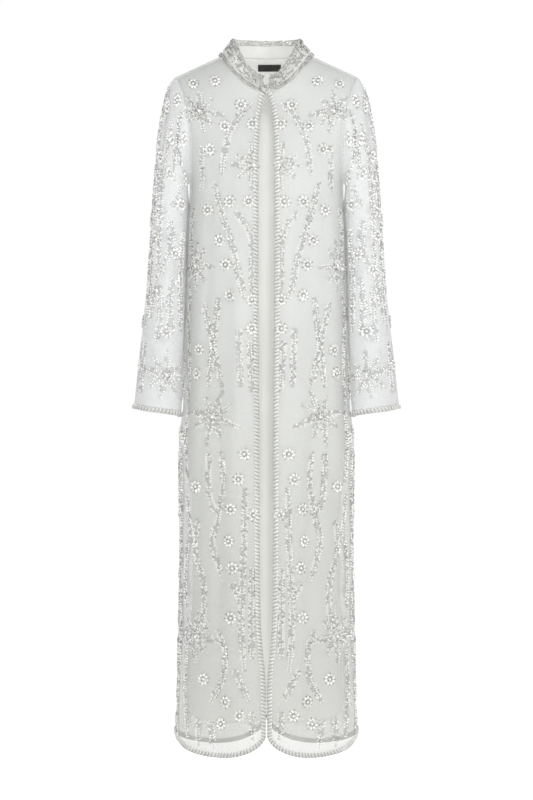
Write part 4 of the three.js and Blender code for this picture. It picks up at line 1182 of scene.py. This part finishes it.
# %% Glass
def silver_lined(tree):
    shade = node(tree, "ShaderNodeAttribute", attribute_name="shade")
    place = node(tree, "ShaderNodeTexCoord")
    speckle = node(tree, "ShaderNodeTexNoise", {"Vector": place.outputs["Object"],
                                                "Scale": 1 / (2 * MM), "Detail": 1.0})
    patchy = node(tree, "ShaderNodeMapRange", {0: speckle.outputs[0], 1: 0.35, 2: 0.65,
                                               3: -0.22, 4: 0.12})
    light = node(tree, "ShaderNodeMath", {0: shade.outputs["Fac"], 1: patchy.outputs[0]},
                 operation="ADD", use_clamp=True)
    # The colour runs from grey to white by the bead's shade, which holds painted glint and shade
    # as well as its tone.
    tint = node(tree, "ShaderNodeMix", {0: light.outputs[0], 6: linear("7C7C79"),
                                        7: linear("FCFCFA")}, data_type="RGBA")
    relief = node(tree, "ShaderNodeBump", {"Strength": 0.1, "Distance": 0.0002,
                                           "Height": speckle.outputs[0]})
    return node(tree, "ShaderNodeBsdfPrincipled",
                {"Base Color": tint.outputs[2], "Metallic": 0.15, "Roughness": 0.22,
                 "IOR": 1.52, "Coat Weight": 0.5, "Coat Roughness": 0.06,
                 "Normal": relief.outputs[0]})


silver_lined_glass = finish("silver_lined_glass", silver_lined)
print(silver_lined_glass.name, "has", len(silver_lined_glass.node_tree.nodes), "nodes")

# %% [markdown]
# The pattern of one half of the front is set out in millimetres from the middle and from the neck,
# and the other half mirrors it. Vines of chevrons climb from the hem, rosettes sit where they end,
# and a few large starbursts hold the pattern together.

# %% Beadwork of the front
# a star is x and z of its middle, its reach and how far it is turned
FRONT_ROSETTES = [
    (141, -58), (99, -54), (49, -103), (80, -145), (27, -141), (108, -189), (70, -291),
    (34, -291), (112, -305), (89, -364), (78, -411), (70, -470), (28, -478), (28, -533),
    (129, -573), (133, -618), (161, -742), (42, -772), (53, -820), (135, -835), (68, -877),
    (24, -888), (72, -938), (65, -989), (68, -1084), (121, -1203), (78, -1245), (51, -1270),
    (87, -1287),
]
FRONT_STARS = [(129, -113, 44, 10), (135, -411, 46, 0), (103, -702, 52, 15), (135, -1122, 50, 5)]
HALF_STAR = (24, -223, 44)  # it has rays on one side only, away from the front edge
# the back repeats these three groups
WAIST_VINES = [
    [(120, -483), (105, -552), (84, -647)],
    [(91, -474), (101, -557), (112, -647)],
    [(53, -533), (49, -647)],
]
KNEE_VINES = [
    [(112, -772), (108, -856), (91, -888)],
    [(87, -768), (82, -822), (91, -888), (103, -940), (82, -1017)],
    [(40, -837), (42, -930), (48, -1090), (42, -1188)],
    [(131, -897), (135, -958), (120, -1023), (122, -1112)],
    [(95, -1109), (80, -1141), (82, -1198), (108, -1249)],
]
HEM_VINES = [
    [(131, -1281), (131, -1334)],
    [(108, -1281), (101, -1336)],
]
FRONT_VINES = [
    [(30, -98), (65, -145), (80, -193), (84, -242)],
    [(101, -252), (84, -316), (65, -373), (55, -421), (42, -478)],
    [(59, -310), (30, -360), (28, -465)],
    *WAIST_VINES,
    [(32, -557), (27, -656)],
    [(123, -181), (126, -271)],
    *KNEE_VINES,
    [(61, -1183), (32, -1243)],
    [(65, -1019), (50, -1050)],
    [(28, -987), (28, -1164)],
    *HEM_VINES,
    [(28, -1262), (25, -1318)],
    [(150, -690), (154, -770), (150, -830)],
    [(152, -850), (146, -905), (136, -960)],
    [(150, -940), (156, -1010), (153, -1070)],
    [(152, -1150), (156, -1230), (150, -1320)],
]


# the same beside the side seams, but with degrees from the middle and the level
SIDE_ROSETTES = [(81, -730), (79, -880), (84, -1010), (80, -1150), (83, -1290)]
SIDE_VINES = [
    [(85, -770), (82, -830), (86, -900)],
    [(76, -760), (73, -840), (77, -930), (74, -1000)],
    [(80, -930), (84, -1080), (79, -1120)],
    [(77, -1030), (74, -1110), (77, -1190)],
    [(85, -1130), (82, -1200), (86, -1250)],
    [(78, -1200), (80, -1270), (77, -1330)],
    [(66, -300), (69, -350), (65, -390)],
    [(67, -450), (70, -520), (66, -600), (69, -680)],
]


def on_body(x, z):
    return angle_of(x, z), float(z)


def by_side(degrees, z):
    return math.radians(degrees), float(z)


def body_patterns(surface, rosettes, stars, vines):
    """Every motif of half a front or half the back."""
    made = [rosette(surface, *on_body(x, z)) for x, z in rosettes]
    made += [starburst(surface, *on_body(x, z), reach, turn) for x, z, reach, turn in stars]
    made += [vine(surface, [on_body(x, z) for x, z in line]) for line in vines]
    made += [rosette(surface, *by_side(at, z)) for at, z in SIDE_ROSETTES]
    made += [vine(surface, [by_side(at, z) for at, z in line]) for line in SIDE_VINES]
    return made


for hand, word in HANDS:
    surface = body_surface(FRONT, hand)
    patterns = body_patterns(surface, FRONT_ROSETTES, FRONT_STARS, FRONT_VINES)
    x, z, reach = HALF_STAR
    patterns.append(starburst(surface, *on_body(x, z), reach, rays=5, first=-78.0, part=156.0))
    sew("beads_front_" + word, surface, gather(patterns), silver_lined_glass)

# %% [markdown]
# The back isn't seen in a picture of the front, so it is given what such a robe has: the same
# motifs in the same order, shifted a little and closed up where the front has its opening.

# %% Beadwork of the back
BACK_ROSETTES = [
    (140, -60), (100, -50), (56, -44), (20, -84), (84, -118), (32, -168), (110, -200), (62, -236),
    (118, -300), (30, -318), (92, -372), (34, -404), (72, -470), (30, -540), (130, -566),
    (134, -622), (160, -740), (40, -772), (56, -824), (136, -838), (70, -880), (26, -930),
    (74, -944), (66, -996), (70, -1086), (122, -1204), (78, -1246), (50, -1272), (88, -1288),
]
BACK_STARS = [(124, -112, 44, 10), (134, -412, 46, 0), (102, -704, 52, 15), (134, -1122, 50, 5),
              (40, -240, 40, 0)]
BACK_VINES = [
    [(62, -60), (58, -110), (78, -170), (84, -242)],
    [(14, -110), (18, -160), (12, -220)],
    [(104, -236), (86, -316), (66, -373), (52, -421), (44, -480)],
    [(60, -300), (34, -360), (28, -465)],
    *WAIST_VINES,
    [(22, -560), (20, -662)],
    [(122, -172), (126, -276)],
    *KNEE_VINES,
    [(61, -1183), (26, -1243)],
    [(14, -700), (18, -800), (12, -880)],
    [(20, -975), (22, -1170)],
    *HEM_VINES,
    [(24, -1262), (25, -1308)],
    [(150, -700), (154, -780), (150, -840)],
    [(150, -930), (156, -1000), (152, -1060)],
    [(152, -1160), (156, -1240), (150, -1310)],
]
for hand, word in HANDS:
    surface = body_surface(BACK, hand)
    patterns = body_patterns(surface, BACK_ROSETTES, BACK_STARS, BACK_VINES)
    sew("beads_back_" + word, surface, gather(patterns), silver_lined_glass)

# %% [markdown]
# On a sleeve the beads run in long rows from the shoulder to the cuff, closer on the outer side
# than on the inner one, with a starburst on the front and on the back of the cuff.

# %% Beadwork of the sleeves
# degrees round the sleeve from its outer side by the front, and the way down it: 0 is the
# armhole's seam, 1 where the cap ends and 2 the cuff
SLEEVE_ROSETTES = [
    (82, 0.66), (44, 0.62), (118, 0.93), (106, 1.22), (50, 1.13), (74, 1.3), (95, 1.6),
    (14, 0.4), (10, 1.05), (336, 0.7), (300, 0.98), (268, 1.12), (240, 1.3), (320, 1.4),
    (276, 1.62), (352, 1.56), (222, 0.9), (20, 1.78), (200, 1.5),
    (52, 0.14), (96, 0.2), (68, 0.42), (34, 0.3), (128, 0.5), (318, 0.16), (286, 0.34), (352, 0.2),
]
SLEEVE_STARS = [(100, 1.81, 44, 5), (286, 1.8, 44, 15)]
SLEEVE_VINES = [
    [(58, 0.34), (60, 0.62), (64, 1.0), (66, 1.28), (52, 1.56)],
    [(112, 0.68), (104, 0.84), (90, 0.98)],
    [(92, 0.26), (84, 0.44), (90, 0.6)],
    [(90, 1.06), (96, 1.16), (86, 1.28)],
    [(104, 1.34), (98, 1.48), (108, 1.62)],
    [(76, 1.38), (82, 1.52), (78, 1.66)],
    [(30, 0.2), (24, 0.7), (28, 1.0), (20, 1.34), (34, 1.6)],
    [(330, 0.24), (318, 0.56), (300, 0.86)],
    [(286, 1.08), (262, 1.3), (276, 1.52)],
    [(340, 0.82), (348, 1.2), (330, 1.5)],
    [(236, 0.98), (222, 1.2), (236, 1.5)],
    [(128, 1.1), (124, 1.36), (132, 1.6)],
    [(40, 1.66), (46, 1.92)],
    [(340, 1.66), (336, 1.92)],
    [(160, 1.7), (156, 1.92)],
    [(226, 1.7), (230, 1.92)],
    [(70, 0.1), (76, 0.28), (112, 0.5)],
    [(14, 0.12), (8, 0.3), (4, 0.62)],
    [(46, 0.7), (40, 0.9), (44, 1.06)],
    [(36, 1.12), (40, 1.34), (30, 1.56)],
    [(300, 0.14), (292, 0.24), (270, 0.5)],
]
sleeves = {hand: sleeve_surface(hand) for hand in (LEFT, RIGHT)}
for hand, word in HANDS:
    surface = sleeves[hand]
    patterns = [rosette(surface, math.radians(at), down) for at, down in SLEEVE_ROSETTES]
    patterns += [starburst(surface, math.radians(at), down, reach, turn)
                 for at, down, reach, turn in SLEEVE_STARS]
    patterns += [vine(surface, [(math.radians(at), down) for at, down in line])
                 for line in SLEEVE_VINES]
    sew("beads_sleeve_" + word, surface, gather(patterns), silver_lined_glass)

# %% [markdown]
# Every edge is bound with a beaded braid: a narrow tape with slanting rows of small beads, light
# and dark in turn, like a rope. The dark ones are partly painted shade between its strands. The
# tape is swept along the edge, and the beads lie on it. A curve with a bevel would sweep a tape
# too, but wouldn't lie flat on the cloth as this one does.

# %% The braid's path
TAPE_HIGH = 1.1
TAPE_LIFT = 0.35
TURN_OVER = 9.0  # how far each way a braid's direction is taken
SIDE_STOP = 0.012  # radians left before the side seam
CUFF_LINE = 1.9995  # how far down the sleeve the braid lies, just short of its end at 2
HEM_START = float(angle_of(front_gap(HEM_LOW), float(HEM_LOW)))


def hem_path(share, start):
    """A point of the hem from the middle (0) to the side seam (1)."""
    angle = mix(start, np.pi / 2, share)
    return np.minimum(angle, np.pi / 2 - SIDE_STOP), hem_level(angle, SCALLOP)


def front_edge_path():
    """Down the front edge and round the hem to the side seam."""
    z = np.linspace(float(neck_level(FRONT, 0.0)), float(hem_level(HEM_START, SCALLOP)), 500)
    angle, level = hem_path(np.linspace(0, 1, 200), HEM_START)
    return np.concatenate([angle_of(front_gap(z), z), angle[1:]]), np.concatenate([z, level[1:]])


def even_path(surface, a, b, pitch):
    """The same path in even steps, with its way along taken over a short length."""
    places = surface["point"](a, b)
    run = np.concatenate([[0], np.cumsum(np.linalg.norm(np.diff(places, axis=0), axis=1))])
    at = np.linspace(0, run[-1], int(run[-1] / pitch) + 1)

    def read(where, values):
        return np.interp(np.clip(where, 0, run[-1]), run, values)

    here = read(at, a), read(at, b)
    _, _, _, _, per_a, per_b = standing(surface, *here)
    da = (read(at + TURN_OVER, a) - read(at - TURN_OVER, a)) * per_a
    db = (read(at + TURN_OVER, b) - read(at - TURN_OVER, b)) * per_b
    return here[0], here[1], np.arctan2(db, da), per_a, per_b


def band(path, inward):
    """Where a line beside the path lies, that many millimetres to its left."""
    a, b, way, per_a, per_b = path
    return a - np.sin(way) * inward / per_a, b + np.cos(way) * inward / per_b


# how far from the edge, and how high as a share of the tape's height
TAPE_SECTION = [(0.0, 0.0), (0.3, 0.8), (1.2, 1.0), (4.5, 1.15), (7.8, 1.0), (8.7, 0.8),
                (9.0, 0.0), (4.5, -0.05)]


def tape(surface, path, closed=False):
    """The points of the tape along a path, one ring of its section after another."""
    rings = []
    for inward, share in TAPE_SECTION:
        a, b = band(path, inward)
        place, out = standing(surface, a, b)[:2]
        rings.append(place + out * (TAPE_LIFT + share * TAPE_HIGH))
    grid = np.stack(rings, axis=1)
    if closed:
        grid = np.concatenate([grid, grid[:1]])
    return grid


edge = body_surface(FRONT, LEFT)["point"](*front_edge_path())
print("a front's braid is", round(np.linalg.norm(np.diff(edge, axis=0), axis=1).sum()), "mm long")


def tape_mesh(name, grids, turned, material):
    """Several swept tapes as one piece, with closed ends. Faced outwards it holds a volume."""
    points, faces, uv, start = [], [], [], 0
    for grid in grids:
        rows, columns = grid.shape[:2]
        quads = grid_faces(rows, columns, turned, ring=True) + start
        faces += quads.tolist()
        first = list(range(start, start + columns))
        last = list(range(start + (rows - 1) * columns, start + rows * columns))
        faces += [first, last[::-1]] if turned > 0 else [first[::-1], last]
        uv.append(measured(grid))
        points.append(grid.reshape(-1, 3))
        start += rows * columns
    made = make_object(name, np.concatenate(points), faces, np.concatenate(uv), material)
    solid = bmesh.new()
    solid.from_mesh(made.data)
    print(name, "holds", round(solid.calc_volume(signed=True) * 1e6, 2), "cm3")
    solid.free()


TAPE_RIB = WAVE / 105  # 3 mm


def grosgrain(tree):
    """Ribbed silk tape, silver grey and dull; its ribs are drawn coarser than the real ones."""
    cloth_map = node(tree, "ShaderNodeUVMap", uv_map="cloth")
    ribs = node(tree, "ShaderNodeTexWave", {"Vector": cloth_map.outputs[0],
                                            "Scale": WAVE / TAPE_RIB}, bands_direction="Y")
    tint = node(tree, "ShaderNodeMix", {0: ribs.outputs[0], 6: linear("ADADA9"),
                                        7: linear("CBCBC7")}, data_type="RGBA")
    relief = node(tree, "ShaderNodeBump", {"Strength": 0.4, "Distance": 0.0004,
                                           "Height": ribs.outputs[0]})
    return node(tree, "ShaderNodeBsdfPrincipled",
                {"Base Color": tint.outputs[2], "Roughness": 0.55, "Sheen Weight": 0.2,
                 "Normal": relief.outputs[0]})


silk_grosgrain = finish("silk_grosgrain", grosgrain)
TAPE_STEP = 5.0
ROPE_PITCH = 2.3
ROPE_ROWS = (1.0, 3.3, 5.7, 8.0)
ROPE_SLANT = 1.35
# The dark strand is partly painted shade in the grooves of the rope.
ROPE_SHADES = np.array([0.85, 0.6, 0.0])  # light strands with a dark line between them
ROPE_PALER = 0.12  # how much lighter each row is than the one nearer the edge


def rope(path, mixed=False):
    """Slanting rows of small beads across a tape, each third one dark, or all of them mixed. The
    dark ones are partly painted shade between the rope's strands.
    """
    a, b, way, per_a, per_b = path
    parts = []
    for k, inward in enumerate(ROPE_ROWS):
        shift = ROPE_SLANT * (k - 1.5)
        a1, b1 = band(path, inward)
        a1 = a1 + np.cos(way) * shift / per_a
        b1 = b1 + np.sin(way) * shift / per_b
        strand = ROPE_SHADES[(np.arange(len(a)) + k) % 3] + ROPE_PALER * k
        shade = (painted_glints_and_shade(len(a)) - 0.25 if mixed else strand) - uneven(len(a), 0.0, 0.3)
        raised = 0.5 if k in (0, 3) else 0.9
        parts.append(beads(a1, b1, way, TAPE_LIFT + TAPE_HIGH + raised, (2.9, 2.5, 2.3),
                           np.maximum(shade, 0)))
    return {"cut": np.concatenate(parts)}


# %% [markdown]
# One braid runs down each front edge and on round its scallop to the side seam. The back has one
# along its whole hem, and each cuff a closed ring. All of them come from the same function.

# %% Braids of the fronts, the hem and the cuffs
def bind(name, surface, line, turned, closed=False):
    """A tape and its beads along one line."""
    coarse = even_path(surface, *line, TAPE_STEP)
    fine = even_path(surface, *line, ROPE_PITCH)
    if closed:
        coarse, fine = [tuple(part[:-1] for part in path) for path in (coarse, fine)]
    tape_mesh("tape_" + name, [tape(surface, coarse, closed)], turned, silk_grosgrain)
    sew("rope_" + name, surface, rope(fine), silver_lined_glass)


for hand, word in HANDS:
    bind("edge_" + word, body_surface(FRONT, hand), front_edge_path(), hand)
    around_cuff = np.linspace(2 * np.pi, 0, 240)
    bind("cuff_" + word, sleeves[hand], (around_cuff, 0 * around_cuff + CUFF_LINE), hand,
         closed=True)

angle, level = hem_path(np.linspace(0, 1, 200), 0.0)
back_line = np.concatenate([-angle[:0:-1], angle]), np.concatenate([level[:0:-1], level])
bind("hem_back", body_surface(BACK, LEFT), back_line, -1)

# %% [markdown]
# The collar is bound all round, and between its braids it is filled with rows of cut beads. They
# go on over its top edge to the inside, where the collar folds over and can be seen from above.

# %% Beads and braid of the collar
COLLAR_BEAD, RIM_BEAD = (4.0, 3.6, 3.0), (2.8, 2.4, 2.3)
COLLAR_PITCH, RIM_PITCH, COLLAR_ROPE_PITCH = 4.0, 2.9, 3.2
# how far up the collar each row lies, and how far off it; a minus is on the inner side
COLLAR_RIM = [(1.0, 0.2), (1.0, -1.7), (0.93, -2.5), (0.85, -2.5), (0.77, -2.5)]
COLLAR_FIELD = [0.33, 0.43, 0.53, 0.63, 0.73]


def collar_line(turn_from, turn_to, rise_from, rise_to, count=400):
    return np.linspace(turn_from, turn_to, count), np.linspace(rise_from, rise_to, count)


collar_tapes, collar_ropes = [], []
for line in (collar_line(0.004, 1.996, 0.0, 0.0), collar_line(1.99, 0.01, 1.0, 1.0),
             collar_line(1.99, 1.99, 0.0, 1.0), collar_line(0.01, 0.01, 1.0, 0.0)):
    collar_tapes.append(tape(collar_surface, even_path(collar_surface, *line, COLLAR_PITCH)))
    collar_ropes.append(rope(even_path(collar_surface, *line, COLLAR_ROPE_PITCH), mixed=True))
tape_mesh("tape_collar", collar_tapes, 1, silk_grosgrain)
sew("rope_collar", collar_surface, gather(collar_ropes), silver_lined_glass)
field = []
for rise in COLLAR_FIELD:
    line = collar_line(0.06, 1.94, rise, rise)
    a, b, way, _, _ = even_path(collar_surface, *line, COLLAR_PITCH)
    field.append({"cut": beads(a, b, way, 1.2, COLLAR_BEAD, painted_glints_and_shade(len(a)) - 0.3)})
for rise, lift in COLLAR_RIM:
    line = collar_line(0.02, 1.98, rise, rise)
    a, b, way, _, _ = even_path(collar_surface, *line, RIM_PITCH)
    field.append({"cut": beads(a, b, way, lift, RIM_BEAD, painted_glints_and_shade(len(a)) - 0.35)})
sew("beads_collar", collar_surface, gather(field), silver_lined_glass)

# %% [markdown]
# A small tab closes the collar at the front: a rounded scrap of the braid's tape on a stiff
# base. The label inside the back neck is a plain black woven tape and stays bare. It is flat
# black, with a faint rib of 0.6 mm that catches a little light.

# %% Tab and label
TAB = {"wide": 25, "high": 18, "thick": 2.2, "tilt": 0.42}
# how far in from the outline, and how far through the plate as a share of its thickness
PLATE_SECTION = ((1.2, 0.0), (0.3, 0.25), (0.0, 0.5), (0.3, 0.75), (1.2, 1.0))


def soft_plate(wide, high, thick):
    """Rings of a plate with rounded edges, square at its top and round at its foot."""
    turn = np.linspace(0, 2 * np.pi, 80, endpoint=False)
    square = np.where(np.sin(turn) > 0, 0.3, 1.0)
    x = np.sign(np.cos(turn)) * np.abs(np.cos(turn)) ** square * wide / 2
    z = np.sign(np.sin(turn)) * np.abs(np.sin(turn)) ** square * high / 2
    rings = [np.stack([x * (1 - 2 * inset / wide), 0 * x - thick * share,
                       z * (1 - 2 * inset / high)], axis=-1)
             for inset, share in PLATE_SECTION]
    return np.stack(rings)


plate = soft_plate(TAB["wide"], TAB["high"], TAB["thick"])
lean_cos, lean_sin = math.cos(TAB["tilt"]), math.sin(TAB["tilt"])
TAB_ROW, TAB_STEP = 2.8, 3.3
leaned = np.stack([plate[..., 0], plate[..., 1] * lean_cos + plate[..., 2] * lean_sin,
                   plate[..., 2] * lean_cos - plate[..., 1] * lean_sin], axis=-1)
tab_middle = np.mean([np.array(corner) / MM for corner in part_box("closing_tab")], axis=0)
leaned += tab_middle - (leaned.min(axis=(0, 1)) + leaned.max(axis=(0, 1))) / 2
tape_mesh("neck_tab", [leaned], -1, silk_grosgrain)
tab_face = {"point": lambda a, b: tab_middle + np.stack(
                [a, b * lean_sin - TAB["thick"] / 2 * lean_cos,
                 b * lean_cos + TAB["thick"] / 2 * lean_sin], axis=-1),
            "step": (1.0, 1.0), "out": 1}
on_tab = [(a, b) for b in np.arange(-7.0, 7.1, TAB_ROW) for a in np.arange(-9.9, 10, TAB_STEP)
          if b > 0 or math.hypot(a / 11.5, b / 8.0) < 1]
tab_a, tab_b = np.array(on_tab).T
tab_rows = beads(tab_a, tab_b, 0.4, 0.9, (3.3, 2.7, 2.4), uneven(len(tab_a), 0.0, 1.0))
sew("beads_tab", tab_face, {"cut": tab_rows}, silver_lined_glass)
LABEL_RIB = WAVE / 500  # 0.63 mm


def woven_tape(tree):
    cloth_map = node(tree, "ShaderNodeUVMap", uv_map="cloth")
    weave = node(tree, "ShaderNodeTexWave", {"Vector": cloth_map.outputs[0],
                                             "Scale": WAVE / LABEL_RIB})
    tint = node(tree, "ShaderNodeMix", {0: weave.outputs[0], 6: linear("0E0E0E"),
                                        7: linear("1C1C1B")}, data_type="RGBA")
    relief = node(tree, "ShaderNodeBump", {"Strength": 0.3, "Distance": 0.0002,
                                           "Height": weave.outputs[0]})
    return node(tree, "ShaderNodeBsdfPrincipled",
                {"Base Color": tint.outputs[2], "Roughness": 0.6, "Sheen Weight": 0.1,
                 "Normal": relief.outputs[0]})


black_woven_tape = finish("black_woven_tape", woven_tape)
# gap is how far inside the lining the label lies
LABEL = {"wide": 46, "high": 13, "thick": 0.8, "x": 6, "z": -6, "gap": 2.4}
label_layer = {"inset": lambda z: LINING_LAYER["inset"](z) + LABEL["gap"],
               "narrow": LINING_LAYER["narrow"], "folded": 0.4}
label_z = LABEL["z"] - LABEL["high"] * np.linspace(0, 1, 7)[:, None]
label_x = LABEL["x"] + LABEL["wide"] * np.linspace(-0.5, 0.5, 21)[None, :]
label_points = body_point(BACK, angle_of(label_x, label_z), label_z + 0 * label_x, label_layer)
cloth("black_label", label_points, -1, black_woven_tape, LABEL["thick"])

# %% [markdown]
# Last, every piece is tied to the imported model. It rides on the garment's one body, and the main
# pieces take the place of the plain solids that they dress.

# %% Tie the pieces to the model
STANDS_FOR = {
    "back": "net_back", "lining_back": "satin_back", "hem_braid_back": "tape_hem_back",
    "collar": "collar_band", "collar_braid": "tape_collar", "closing_tab": "neck_tab",
    "neck_label": "black_label",
}
PAIRS = {"front_": "net_front_", "sleeve_": "net_sleeve_", "lining_front_": "satin_front_",
         "edge_braid_": "tape_edge_", "cuff_braid_": "tape_cuff_"}
for _, word in HANDS:
    for plain, dressed in PAIRS.items():
        STANDS_FOR[plain + word] = dressed + word
for piece in pieces.values():
    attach(piece, "root")
for plain, dressed in STANDS_FOR.items():
    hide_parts(plain)
print(len(pieces), "pieces, of which", len(STANDS_FOR), "stand for a plain solid")
